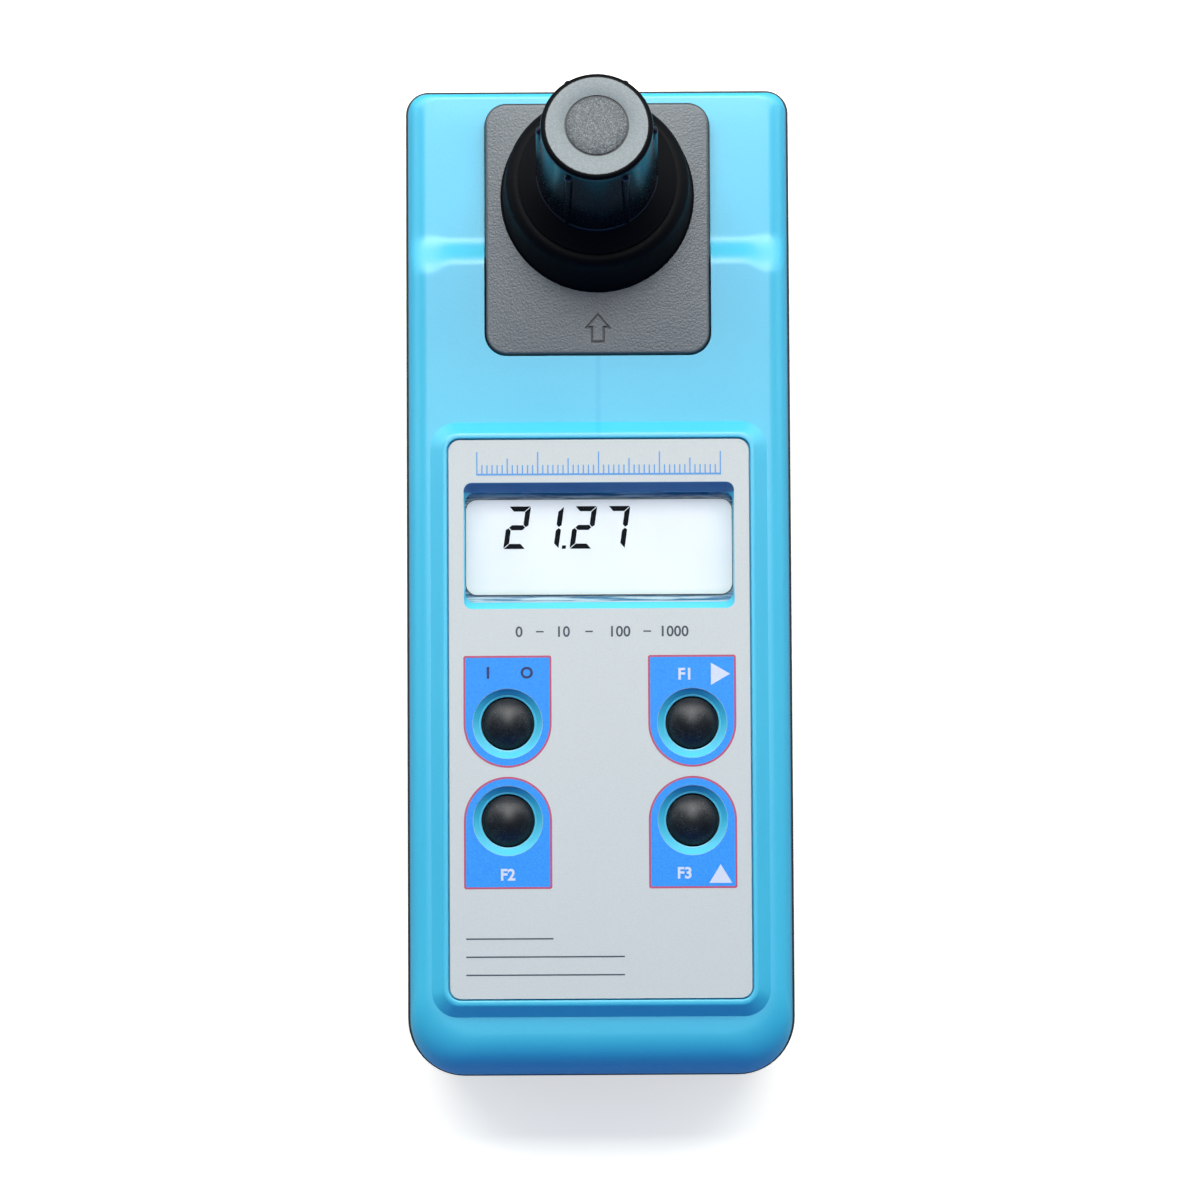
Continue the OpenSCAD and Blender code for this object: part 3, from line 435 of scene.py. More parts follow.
def built(name, *parts, crease=33):
    """One object from several sets of points and faces. What meets is merged, and only edges sharper than
    crease degrees stay sharp."""
    points, faces, start = [], [], 0
    for part_points, part_faces in parts:
        points.append(part_points)
        faces += (part_faces + start).tolist()
        start += len(part_points)
    mesh = bpy.data.meshes.new(name)
    mesh.from_pydata(np.concatenate(points).tolist(), [], faces)
    joined = bmesh.new()
    joined.from_mesh(mesh)
    bmesh.ops.remove_doubles(joined, verts=joined.verts, dist=0.000003)
    bmesh.ops.delete(joined, geom=[v for v in joined.verts if not v.link_faces], context="VERTS")
    joined.to_mesh(mesh)
    joined.free()
    mesh.shade_smooth()
    mesh.set_sharp_from_angle(angle=math.radians(crease))
    piece = bpy.data.objects.new(name, mesh)
    bpy.context.scene.collection.objects.link(piece)
    return piece


step_start, step_long, step_drop = 172.4, 6.4, 3
turn_start, turn_wide, turn_lead, turn_longer = 31, 5, 2.2, 3


def top_height(u, v):
    """Height of the face: level in front and lower by the drop in the rear, with a step between that eases in
    and out over its length. Past turn_start, near the sides, it begins nearer the nose and is longer."""
    turn = np.clip((np.abs(u) - turn_start) / turn_wide, 0, 1)
    turn = turn ** 2 * (3 - 2 * turn)
    share = np.clip((v + turn_lead * turn - step_start) / (step_long + turn_longer * turn), 0, 1)
    return -step_drop * share ** 2 * (3 - 2 * share)


def fallen(depth, radius):
    """How far an edge of that radius has drawn in at a depth below its top."""
    up = np.clip(radius - depth, 0, None)
    return radius - np.sqrt(radius ** 2 - up ** 2)


nose_corner, far_corner = 11.8, 4.5
side_round, nose_round, far_round, nose_back, leaning = 3.6, 9.5, 1.1, 0.09, 1.2
side_marks = np.concatenate([np.linspace(0, 0.76, 26), np.linspace(0.77, 0.9, 40), np.linspace(0.91, 1, 8)])
skin_shape = (nose_corner, far_corner, side_marks, 20, 16)
skin_rings = [on_face(*rounded(half_width, 0, face_long, *skin_shape)[:2], seam_w)]
for depth in nose_round * (1 - np.sin(np.linspace(0, math.pi / 2, 40))):
    side, far = fallen(depth, side_round), fallen(depth, far_round)
    front = nose_back + fallen(depth, nose_round)
    u, v, out_u, out_v = rounded(half_width - side, front, face_long - far, *skin_shape)
    w = top_height(u, v) - depth
    lean = leaning * (1 + np.clip(out_v, 0, 1)) * (w - seam_w) / -seam_w * (1 - np.clip(-out_v, 0, 1))
    u, v = u - out_u * lean, v - out_v * lean
    skin_rings.append(on_face(u, v, top_height(u, v) - depth))
edge_line = np.stack([u, v])

# The flat of the face, cut out for the plate and the panel. Points strewn over both ends of the step let the
# sheet follow its curve.
pocket_edge, pocket_w = (24.15, 152.85, 207.25, 4.8), -4.0
panel_edge = (35.75, 12.8, 138.7, 5.5)
plate_hole, panel_foot = drawn_in(pocket_edge), drawn_in(panel_edge)
strewn_u = np.concatenate([np.arange(24.8, 29, 1.4), np.arange(29, 36, 0.7)])
strewn_u = np.concatenate([strewn_u, -strewn_u])
strewn_v = np.arange(167, 180, 0.4)
strewn = np.stack([grid.ravel() for grid in np.meshgrid(strewn_u, strewn_v)], 1)
(u, v), faces = cut_sheet(edge_line, [plate_hole, panel_foot], strewn)
face_top = (on_face(u, v, top_height(u, v)), faces)

cell_v, hub_r = 187, 16.3
hole_top = top_height(*plate_hole)
pocket = standing((plate_hole, hole_top), (plate_hole, hole_top / 4 - 3), (plate_hole, pocket_w))
hub_hole = circle(0, cell_v + pocket_w * math.tan(slope), hub_r, 96)
pocket_floor = level_sheet(pocket_w, plate_hole, [hub_hole])

# The panel's chamfer is the soft lesser of a straight rise and the panel's height. Inside it a narrow trench
# runs round the recess that takes the label.
panel_up, chamfer_rise, chamfer_soft, recess_w = 2.2, 0.85, 0.11, 1.7
trim_edge = (31.95, 16.6, 134.9, 2.4)
panel_rings = []
for inset in [0, 0.05, *np.linspace(0.3, 1.8, 6), *np.linspace(2, 3.1, 18)]:
    w = -chamfer_soft * np.logaddexp(-chamfer_rise * inset / chamfer_soft, -panel_up / chamfer_soft)
    panel_rings.append(on_face(*drawn_in(panel_edge, inset, 0.74), w))
for spread, w in ((0.35, panel_up), (0.25, 2.17), (0.19, 2.1), (0.17, 1.9), (0.17, 0.9), (-0.23, 0.9),
                  (-0.25, recess_w)):
    panel_rings.append(on_face(*drawn_in(trim_edge, -spread), w))
recess = drawn_in(trim_edge, 0.25)

key_u, upper_row, lower_row, dish_r = 19.5, 74.65, 54.15, 7.27
key_places = {"power": (-key_u, upper_row), "scroll": (key_u, upper_row), "calibrate": (-key_u, lower_row),
              "measure": (key_u, lower_row)}
window_edge = np.array([28.65, 98.9, 125.7, 1.7])
window_taper = np.array([-0.25, 1.5, -2, 0.3])
opening = drawn_in(window_edge)
dish_lines = [circle(*place, dish_r, 72) for place in key_places.values()]
floor = level_sheet(recess_w, recess, [opening, *dish_lines])
window_rings = []
for share, w in ((0, recess_w), (0.04, 1.55), (0.3, 1.0), (0.65, 0.15), (0.94, -0.55), (1, -0.7)):
    window_rings.append(on_face(*drawn_in(window_edge + share * window_taper), w))
dish_profile = ((dish_r, recess_w), (7.23, 1.67), (7.14, 1.59), (6.14, 0.76), (6.05, 0.7), (5.74, 0.7),
                (5.67, 0.66), (5.65, 0.55), (5.65, -0.7))
dishes = [standing(*((circle(*place, r, 72), w) for r, w in dish_profile)) for place in key_places.values()]

casing = built("casing", woven(skin_rings), face_top, pocket, pocket_floor, woven(panel_rings), floor,
               woven(window_rings), *dishes)

# The wall is drawn thinner than the real one, so that it doesn't come out through the trench's narrow sides.
wall_thick = 0.0008
thickness = casing.modifiers.new("wall", "SOLIDIFY")
thickness.thickness = wall_thick
thickness.offset = -1
thickness.use_rim = True


def face_place(finish):
    """The place as on_face takes it, but in metres: across, up the slope, and out of the face."""
    across, along, up = finish.axes()
    along, up = along - nose_y / 1000, up - face_z / 1000
    up_slope = along * math.cos(slope) + up * math.sin(slope)
    return across, up_slope, up * math.cos(slope) - along * math.sin(slope)


casing_blue = Finish("casing_blue", Specular_IOR_Level=0.8)
drift = casing_blue.cloud(0.05, 3)
pearl = casing_blue.cloud(0.00035, 2)
pebble = casing_blue.cells(0.0005)
across, up_slope, height = face_place(casing_blue)
along = casing_blue.axes()[1]

# A faint flow line runs up the middle from the panel to the plate.
flow_half, panel_side, plate_side = 0.0009, (0.018, 0.024), (0.045, 0.042)
flow = abs(across).between(flow_half, 0.0) * along.between(*panel_side) * along.between(*plate_side) * 0.7

# The wall at the window's upper edge lies in the label's shade, and that shade is painted: its blue is made
# deeper.
wall_end, wall_half = window_edge[2] / 1000, window_edge[0] / 1000 + 0.00015
far_wall_painted_shade = up_slope.between(wall_end - 0.0023, wall_end - 0.0018) * (up_slope < wall_end + 0.0013)
far_wall_painted_shade = far_wall_painted_shade * height.between(0.00168, 0.0015) * (abs(across) < wall_half)
satin = drift.between(0.3, 0.7) * 0.5 + pearl * 0.4 + flow
satin = casing_blue.blend(satin, ink(72, 211, 238), ink(54, 198, 232))
casing_blue.show(Base_Color=casing_blue.blend(far_wall_painted_shade, satin, ink(18, 112, 172)))
casing_blue.show(Roughness=0.42 + (drift - 0.5) * 0.08 + (pearl - 0.5) * 0.1)
casing_blue.rough_skin(pebble, 0.000008)
casing_blue.lay_on(casing)
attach(casing, "case")
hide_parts("upper_shell")

# DISPLAY
# A pale reflective panel of glass in a white frame, under a clear pane. The digits are driven segments,
# leaning a little, which look dark against the panel.

dress(moulded("frame_white", ink(226, 232, 234), ink(212, 220, 224), 0.4, 0.0008), "lcd_frame")
dress(moulded("contact_rubber", ink(196, 150, 160), ink(150, 110, 122), 0.6, 0.0003), "elastomer_strips")

glass_edge, glass_front, glass_back, glass_round = (28.3, 102.1, 122.35, 2.3), -2.38, -4.6, 0.06
panel_line, front_line = drawn_in(glass_edge), drawn_in(glass_edge, glass_round)
display_face = built("display_face",
                     standing((panel_line, glass_back), (panel_line, glass_front - glass_round),
                              (front_line, glass_front)),
                     level_sheet(glass_front, front_line),
                     level_sheet(glass_back, panel_line, up=False))
# The panel glows faintly though no lamp lies behind it: painted light against the window walls' shade.
white = Finish("display_white", Coat_Roughness=0.08, Emission_Strength=0.68)
haze = white.cloud(0.012, 3)
fleck = white.cloud(0.0003, 2)
band_top, band_foot = on_face(0, 103.9, 0)[1], on_face(0, 102.9, 0)[1]
low_band = white.axes()[1].between(band_top, band_foot)
clouded = haze.between(0.35, 0.7) * 0.3 + fleck * 0.2 + low_band * 0.5
white.show(Base_Color=white.blend(clouded, ink(246, 249, 249), ink(206, 222, 216)))
white.show(Emission_Color=white.blend(haze, ink(150, 148, 146), ink(142, 142, 140)))
white.show(Roughness=0.34 + fleck * 0.1)
white.show(Coat_Weight=0.3 + haze * 0.1)
white.rough_skin(fleck, 0.000003)
white.lay_on(display_face)
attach(display_face, "case")
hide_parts("lcd_glass")

# Round the panel lies the clear edge of the pane's seat, and on it the dark line of the panel's seal.
seat_w, rim_w = -2.8, -2.5
seat_line = drawn_in((29.9, 99.3, 125.3, 1.2))
rim_line = drawn_in((28.46, 101.94, 122.5, 2.45))
surround = built("display_surround", level_sheet(seat_w, seat_line, [rim_line]))
rim = built("display_rim", level_sheet(rim_w, rim_line, [panel_line]),
            standing((rim_line, seat_w), (rim_line, rim_w)))
edge_glass = Finish("edge_glass", Coat_Weight=1.0, Coat_Roughness=0.05)
drawn = edge_glass.put("ShaderNodeMapping", {}, {"Vector": edge_glass.place, "Scale": (0.06, 1, 1)})
streak = edge_glass.cloud(0.0006, 2, drawn)
edge_glass.show(Base_Color=edge_glass.blend(streak.between(0.45, 0.6), ink(52, 138, 180), ink(206, 238, 246)))
edge_glass.show(Roughness=0.25 + streak * 0.2)
edge_glass.rough_skin(streak, 0.0002)
edge_glass.lay_on(surround)
moulded("rim_dark", ink(34, 52, 58), ink(58, 84, 90), 0.3, 0.0004).lay_on(rim)
for piece in (surround, rim):
    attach(piece, "case")

# A digit is wide by tall, of bars with bevelled ends and a gap between them. An upright bar is turned over
# or round to make the others.
wide, tall, bar, gap = 4.7, 9.06, 1.08, 0.11
upright = np.array([(wide - bar, tall - bar - gap), (wide - bar, tall / 2 + bar / 2 + gap),
                    (wide - bar / 2, tall / 2 + gap), (wide, tall / 2 + bar / 3 + gap), (wide, tall - gap)])
left, right, half_bar = bar + gap, wide - bar - gap, bar / 2
top_bar = np.array([(gap, tall), (left, tall - bar), (right, tall - bar), (wide - gap, tall)])
middle_bar = [(half_bar + gap, tall / 2), (left, tall / 2 - half_bar), (right, tall / 2 - half_bar),
              (wide - half_bar - gap, tall / 2), (right, tall / 2 + half_bar), (left, tall / 2 + half_bar)]
bars = {"top": top_bar, "middle": middle_bar, "bottom": (wide, tall) - top_bar, "upper_right": upright,
        "lower_right": (upright * (1, -1) + (0, tall))[::-1], "lower_left": (wide, tall) - upright}
two = ["top", "upper_right", "middle", "lower_left", "bottom"]
dark_bars = [two, ["upper_right", "lower_right"], two, ["top", "upper_right", "lower_right"]]
digit_lean, digit_pitch, digit_u, digit_v, digit_w = math.radians(8), 7.05, -20.4, 111.88, -2.352
digit_parts = []
for place, names in enumerate(dark_bars):
    for name in names:
        u, v = np.array(bars[name], float).T
        u = u + v * math.tan(digit_lean) + place * digit_pitch + digit_u
        digit_parts.append((on_face(u, v + digit_v, digit_w), np.arange(len(u))[None, :]))
dot = np.array([[-7.95, 111.86], [-7.1, 111.86], [-7.0, 112.6], [-7.85, 112.6]])
digit_parts.append((on_face(*dot.T, digit_w), np.array([[0, 1, 2, 3]])))
digits = built("display_digits", *digit_parts)
digit_black = moulded("segment_black", ink(8, 8, 12), ink(14, 14, 20), 0.5, 0.0003, 0.000002,
                      Specular_IOR_Level=0.0)
digit_black.lay_on(digits)
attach(digits, "case")

dress(clear("window_pane", ink(220, 240, 246), 0.12, 0.0, 0.15), "display_window")

# LABEL
# A grey printed film, glued into the panel's recess and die-cut round the window and the keys. The key
# fields are screen-printed blue inside a thin pink line, and the marks are printed dark.

film_edge, film_low, film_top = (31.8, 16.75, 134.75, 2.4), 1.71, 2.0
label_edge, label_top = drawn_in(film_edge), drawn_in(film_edge, 0.04)
label_holes = [opening, *(circle(*place, 7.36, 72) for place in key_places.values())]
label = built("label_film",
              standing((label_edge, film_low), (label_edge, film_top - 0.03), (label_top, film_top)),
              level_sheet(film_top, label_top, label_holes),
              *(standing((hole, film_top), (hole, film_low)) for hole in label_holes),
              level_sheet(film_low, label_edge, label_holes, up=False))


def printed_film(name, colour, other, speck_size=0.00022):
    """Printed polyester film: a fine velvet grain and a faint sparkle of the ink's own dots."""
    made = Finish(name, Specular_IOR_Level=0.4)
    dots = made.cloud(speck_size, 2)
    drift = made.cloud(0.04, 2)
    made.show(Base_Color=made.blend(dots.between(0.3, 0.7) * 0.75 + drift * 0.25, colour, other))
    made.show(Roughness=0.42 + dots * 0.12)
    made.rough_skin(dots, 0.000004)
    return made


printed_film("label_grey", ink(229, 232, 224), ink(217, 221, 214)).lay_on(label)
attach(label, "case")
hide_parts("face_label")

field_r, field_far, field_corner, field_line = 9.3, 14.35, 0.5, 0.42


def key_field(u, v, inset, upper):
    """A key's printed field: half a circle about the key on one side, two straight sides, and a flat edge
    with small corners on the other; turned over for the lower keys."""
    reach, far, corner = field_r - inset, field_far - inset, max(field_corner - inset, field_corner / 2)
    half_turn = np.linspace(math.pi, 2 * math.pi, 40)
    bend = np.linspace(0, math.pi / 2, 8)
    points = np.concatenate([
        np.stack([reach * np.cos(half_turn), reach * np.sin(half_turn)], 1),
        np.stack([reach - corner + corner * np.cos(bend), far - corner + corner * np.sin(bend)], 1),
        np.stack([corner - reach - corner * np.sin(bend), far - corner + corner * np.cos(bend)], 1)])
    if not upper:
        points = points[::-1] * (1, -1)
    return (points + (u, v)).T


field_w, mark_w = 2.012, 2.022
fields, lines = [], []
for u, v in key_places.values():
    upper = v == upper_row
    outer, inner = key_field(u, v, 0, upper), key_field(u, v, field_line, upper)
    fields.append(level_sheet(field_w, inner, [circle(u, v, 7.4, 72)]))
    lines.append(level_sheet(field_w, outer, [inner]))
key_fields = built("key_fields", *fields)
printed_film("print_blue", ink(26, 148, 255), ink(52, 172, 255), 0.0004).lay_on(key_fields)
field_lines = built("key_field_lines", *lines)
printed_film("print_pink", ink(216, 92, 124), ink(196, 78, 112)).lay_on(field_lines)


def lettered(text, u, v, height=2.5, bold=0.03):
    """Plain marks as flat faces: the text is laid out, made a mesh, and scaled alike both ways until it is
    height millimetres tall, with its middle at u and its foot at v."""
    curve = bpy.data.curves.new("marks", "FONT")
    curve.body = text
    curve.offset = bold
    curve.resolution_u = 4
    draft = bpy.data.objects.new("marks", curve)
    bpy.context.scene.collection.objects.link(draft)
    bpy.context.view_layer.update()
    shape = draft.evaluated_get(bpy.context.evaluated_depsgraph_get()).to_mesh()
    flat = np.empty(len(shape.vertices) * 3)
    shape.vertices.foreach_get("co", flat)
    flat = flat.reshape(-1, 3)[:, :2]
    shape.calc_loop_triangles()
    faces = np.empty(len(shape.loop_triangles) * 3, int)
    shape.loop_triangles.foreach_get("vertices", faces)
    bpy.data.objects.remove(draft)
    low, high = flat.min(0), flat.max(0)
    flat = (flat - [(low[0] + high[0]) / 2, low[1]]) * height / (high[1] - low[1]) + (u, v)
    return on_face(*flat.T, mark_w), faces.reshape(-1, 3)


def flat_mark(*corners):
    """A printed shape with straight edges, its corners anticlockwise."""
    points = np.array(corners, float)
    return on_face(*points.T, mark_w), np.arange(len(points))[None, :]


def bar_mark(u0, u1, v0, v1):
    """A printed bar from u0 to u1 across and v0 to v1 along."""
    return flat_mark((u0, v0), (u1, v0), (u1, v1), (u0, v1))


number_tall, line_thick = 2.3, 0.3
dark_marks = built("power_marks", lettered("I", -23.6, 84.15), lettered("O", -15.4, 84.15))
printed_film("print_navy", ink(24, 34, 92), ink(34, 46, 106)).lay_on(dark_marks)
pale_marks = built("key_marks", lettered("F1", 17.9, 83.75), lettered("F2", -19.5, 41.6),
                   lettered("F3", 17.7, 41.8),
                   flat_mark((23.5, 82.6), (27.55, 84.95), (23.5, 87.3)),
                   flat_mark((22.9, 40.9), (27.7, 40.9), (25.3, 44.85)))
printed_film("print_white", ink(240, 244, 252), ink(224, 232, 246)).lay_on(pale_marks)
numbers = {"0": -17, "10": -7.5, "100": 4.5, "1000": 16}
range_marks = built("range_marks",
                    *(lettered(number, u, 92.9, number_tall, 0.015) for number, u in numbers.items()),
                    *(bar_mark(u, u + 1.6, 93.9, 93.9 + line_thick) for u in (-13.4, -3.0, 9.3)))
line_ends = {29.2: -10, 25.4: 5, 21.6: 5}
writing_lines = built("writing_lines",
                      *(bar_mark(-28.4, end, v, v + line_thick) for v, end in line_ends.items()))
printed_film("print_grey", ink(62, 72, 80), ink(80, 90, 98)).lay_on(range_marks, writing_lines)

# The row of ticks: every sixth is longer, and every twelfth longer still.
tick_pitch, tick_half, base_low, base_top = 1.075, 0.14, 127.2, 127.6
ticks = np.arange(49)
tick_tops = np.where(ticks % 12 == 0, 132.2, np.where(ticks % 6 == 0, 130.8, 129.4))
tick_bars = [bar_mark(u - tick_half, u + tick_half, base_top, top)
             for u, top in zip((ticks - 24) * tick_pitch, tick_tops)]
base_half = 24 * tick_pitch + tick_half
scale_marks = built("scale_marks", *tick_bars, bar_mark(-base_half, base_half, base_low, base_top))
printed_film("print_sky", ink(92, 162, 226), ink(108, 176, 234)).lay_on(scale_marks)
for piece in (key_fields, field_lines, dark_marks, pale_marks, range_marks, writing_lines, scale_marks):
    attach(piece, "case")

# KEYS
# Four domed keys of black silicone that stand up through the dishes. Each has a skirt that the shell holds
# down and a stem to its pill; the skin is matt and picks up a little dust.

key_rubber = Finish("key_rubber", Specular_IOR_Level=0.38)
dust = key_rubber.cloud(0.00018, 2)
worn = key_rubber.cloud(0.004, 3)
film = dust.between(0.52, 0.78) * worn.between(0.35, 0.7)
key_rubber.show(Base_Color=key_rubber.blend(film, ink(9, 13, 18), ink(92, 104, 106)))
key_rubber.show(Roughness=0.4 + film * 0.2)
key_rubber.rough_skin(dust, 0.000012)

# The dome is a cap of a ball, dome_up high over a circle of the key's radius.
key_r, dome_top, dome_up, pole_r = 5.3, 2.7, 2.2, 0.01
stem_r, stem_foot, skirt_r, skirt_low, skirt_top = 3.4, -5.6, 6.7, -3.2, -1.0
ball_r = (key_r ** 2 + dome_up ** 2) / (2 * dome_up)
dome_r = np.linspace(5.1, 0.12, 16)
dome_w = dome_top - ball_r + np.sqrt(ball_r ** 2 - dome_r ** 2)
key_profile = [(pole_r, stem_foot), (stem_r, stem_foot), (stem_r, skirt_low), (6.55, skirt_low),
               (skirt_r, -3.05), (skirt_r, -1.15), (6.55, skirt_top), (key_r, skirt_top), (key_r, 0.42),
               (5.27, 0.55), (5.21, 0.6), *zip(dome_r, dome_w), (pole_r, dome_top)]
for name, (u, v) in key_places.items():
    pole, closing = circle(u, v, pole_r), np.arange(64)[None, :]
    key = built("key_" + name + "_dome", standing(*((circle(u, v, r), w) for r, w in key_profile)),
                (on_face(*pole, dome_top), closing), (on_face(*pole, stem_foot), closing[:, ::-1]))
    key_rubber.lay_on(key)
    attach(key, "key_" + name)
    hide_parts("key_" + name)

# PLATE AND COLLAR
# One black moulding that closes the well: a plate with a leather grain and a sunk arrow, and a smooth
# collar that rises from the slope to a level rim round the cuvette.

cell_y = nose_y + cell_v * math.cos(slope)
plate_z = face_z + cell_v * math.sin(slope)
rim_z = plate_z + 10.5
quarter = np.linspace(0, math.pi / 2, 11)
ring_points = 160
bearing = np.arange(ring_points) * 2 * math.pi / ring_points


def around(r, z, bearing=bearing):
    """A level ring about the cuvette's axis: radius and height in millimetres, as metres."""
    x, y, z = np.broadcast_arrays(r * np.cos(bearing), cell_y + r * np.sin(bearing), z)
    return np.stack([x, y, z], -1) / 1000


def around_down_to(r, w):
    """The ring where an upright tube about the cuvette's axis meets a plane parallel to the face."""
    y = cell_y + r * np.sin(bearing)
    return around(r, face_z + (y - nose_y) * math.tan(slope) + w / math.cos(slope))


def arrow(inset):
    """The arrow's outline, anticlockwise from its lower left corner, drawn in by an inset."""
    wing, shaft, neck, tip = 2.9 - 2 * inset, 1.5 - inset, 3.1 + inset, 6.4 - 1.5 * inset
    corners = [[-shaft, inset], [shaft, inset], [shaft, neck], [wing, neck], [0, tip], [-wing, neck],
               [-shaft, neck]]
    return (np.array(corners) + (0, arrow_v)).T


plate_edge, plate_low, plate_round = (24, 153, 207.1, 4.7), -3.4, 0.8
arrow_v, arrow_w = 155.6, -0.5
plate_lines = [(drawn_in(plate_edge), plate_low), (drawn_in(plate_edge), -plate_round)]
for a in quarter[1:]:
    inset, w = plate_round * (1 - math.cos(a)), plate_round * (math.sin(a) - 1)
    plate_lines.append((drawn_in(plate_edge, inset), w))
plate = built("plate_leather", standing(*plate_lines),
              level_sheet(0.0, drawn_in(plate_edge, plate_round), [arrow(0)]),
              standing((arrow(0), 0.0), (arrow(0.1), arrow_w)),
              level_sheet(arrow_w, arrow(0.1), [arrow(0.4)]),
              standing((arrow(0.4), arrow_w), (arrow(0.5), 0.0)),
              level_sheet(0.0, arrow(0.5)),
              level_sheet(plate_low, drawn_in(plate_edge), up=False), crease=40)

# The collar's rings start where it rises from the plate, blend from the sloping circle to the level one
# below the rim, and go down through the bore and back up outside the tube.
top_r, top_round, bore_r, tube_r, tube_low = 17.0, 2.4, 12.6, 16, -8.7
collar_rings = []
for r, w in ((20.75, -0.05), (20.6, 0.03), (20.42, 0.14), (20.3, 0.3), (20.25, 0.5)):
    u, v = circle(0, cell_v, r, ring_points)
    collar_rings.append(on_face(u, np.minimum(v, plate_edge[2] + 0.1), w))
sloping, level = collar_rings[-1], around(top_r + top_round, rim_z - top_round)
collar_rings += [sloping * (1 - share) + level * share for share in (0.25, 0.5, 0.75)]
collar_rings += [around(top_r + top_round * math.cos(a), rim_z - top_round + top_round * math.sin(a))
                 for a in quarter]
collar_rings += [around(14.1, rim_z), around(13.95, rim_z - 0.06), around(bore_r + 0.1, rim_z - 1.1),
                 around(bore_r, rim_z - 1.25), around(bore_r, rim_z - 6)]
collar_rings += [around_down_to(bore_r, w) for w in (-1.0, -5.0, tube_low)]
collar_rings += [around_down_to(tube_r, w) for w in (tube_low, -5.0, -3.3)]
collar = built("collar", woven(collar_rings))

plate_black = Finish("plate_leather", Specular_IOR_Level=0.75)
pebble = plate_black.cells(0.0005)
fold = plate_black.cells(0.0008, "DISTANCE_TO_EDGE")
fine = plate_black.cloud(0.00022, 2)
rubbed = plate_black.cloud(0.02, 3)
# The arrow's sunk floor is coloured near black: painted shade in the groove.
groove_painted_shade = face_place(plate_black)[2].between(-0.00004, -0.0003)
# The black plate is coloured mid grey: painted sheen of the lamp overhead on its grain, in the grain's own
# patches.
leather_and_painted_sheen = plate_black.blend(fine * 0.6 + rubbed * 0.4, ink(60, 69, 72), ink(103, 114, 117))
plate_black.show(Base_Color=plate_black.blend(groove_painted_shade, leather_and_painted_sheen, ink(12, 15, 17)))
plate_black.show(Roughness=0.34 + fine * 0.12 + rubbed * 0.08)
plate_black.rough_skin(fold.between(0, 0.3) * 0.4 + (1 - pebble) * 0.25 + fine * 0.35, 0.00006)
plate_black.lay_on(plate)
collar_black = moulded("collar_black", ink(6, 7, 9), ink(11, 12, 15), 0.5, 0.0009, 0.000004,
                       Specular_IOR_Level=0.05)
collar_black.lay_on(collar)
for piece in (plate, collar):
    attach(piece, "case")
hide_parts("cell_plate")
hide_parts("cell_plate")

# CUVETTE
# A round glass cuvette with a shoulder and a neck, standing on the well's floor, with an ivory seal and
# the cap's screwed insert round its neck.

dress(clear("vial_glass", ink(214, 232, 228), 0.02, 0.06), "cuvette")
dress(moulded("seal_ivory", ink(226, 218, 196), ink(208, 200, 178), 0.55, 0.0006), "cap_seal")
dress(moulded("insert_black", ink(26, 27, 29), ink(34, 35, 38), 0.4, 0.0006), "cap_insert")

# CAP
# The tall black screw cap that shuts out daylight: a flange over the collar, a skirt, and a tapering grip
# with six half-round ribs. Its top is grained, with one turned groove, and its sides are polished.

cap_top = plate_z + 42
flange_z = rim_z + 0.3
foot_z = flange_z + 3.6
grip_r, grip_taper, grip_blend = 12.6, 1.15, 0.05
rib_foot_r, rib_taper, rib_r, rib_top = 11.8, 0.4, 1, cap_top - 3.1
sector = np.concatenate([np.linspace(-6.5, 6.5, 33), np.linspace(7.5, 52.5, 19)])
turn = np.radians((sector[None, :] + np.arange(6)[:, None] * 60).ravel())
beside = rib_foot_r * np.sin(np.radians(np.tile(sector, 6)))
beside = np.where(np.abs(np.tile(sector, 6)) < 30, beside, 9)


def cap_ring(r, z):
    """A ring of the cap: the soft larger of the grip's radius and the ribs'. A rib is half a circle about a
    line that leans in with the grip, and ends in a quarter ball below the crown."""
    beyond = max(z - rib_top, 0)
    off = np.sqrt(beside ** 2 + beyond ** 2)
    line = rib_foot_r - rib_taper * (z - foot_z) / (rib_top - foot_z)
    bulge = np.sqrt(np.clip(rib_r ** 2 - off ** 2, 0, 1))
    rib = np.where(off < rib_r, line + bulge, line - (off - rib_r) * 14)
    if r > 9 and flange_z + 0.9 < z < cap_top - 1.5:
        r = grip_blend * np.logaddexp(r / grip_blend, np.clip(rib, 0, 40) / grip_blend)
    return around(r, z, turn)


# The profile runs from the middle of the hollow inside, under the flange, up the outside and back to the
# middle of the top. Heights are those above the flange's foot, the grip's foot or the top.
hollow_r, flange_r, skirt_up = 10.0, 16.7, 0.98
hollow = [(0.02, cap_top - 1.6), (9.45, cap_top - 1.6), (hollow_r, flange_z + 3.86),
          (hollow_r, flange_z + 0.865), (11.9, flange_z + 0.865), (11.9, flange_z), (16.2, flange_z)]
flange = [(16.45, flange_z + 0.04), (16.62, flange_z + 0.16), (flange_r, flange_z + 0.36),
          (flange_r, flange_z + 0.6), (16.64, flange_z + 0.78), (16.48, flange_z + 0.88),
          (16.25, flange_z + skirt_up)]
skirt = [(16.25 - t * 3.05, flange_z + skirt_up + t * 2.24) for t in (0.2, 0.4, 0.6, 0.8, 0.92)]
grip = [(13.1, foot_z - 0.32), (12.78, foot_z - 0.1), (12.62, foot_z + 0.12), (12.58, foot_z + 0.4)]
for z in [*np.linspace(foot_z + 1.2, cap_top - 5, 14), *np.linspace(cap_top - 4.4, cap_top - 1.4, 22)]:
    grip.append((grip_r - grip_taper * (z - foot_z) / (cap_top - foot_z), z))
crown = [(10.45 + math.cos(a), cap_top - 1 + math.sin(a)) for a in quarter]
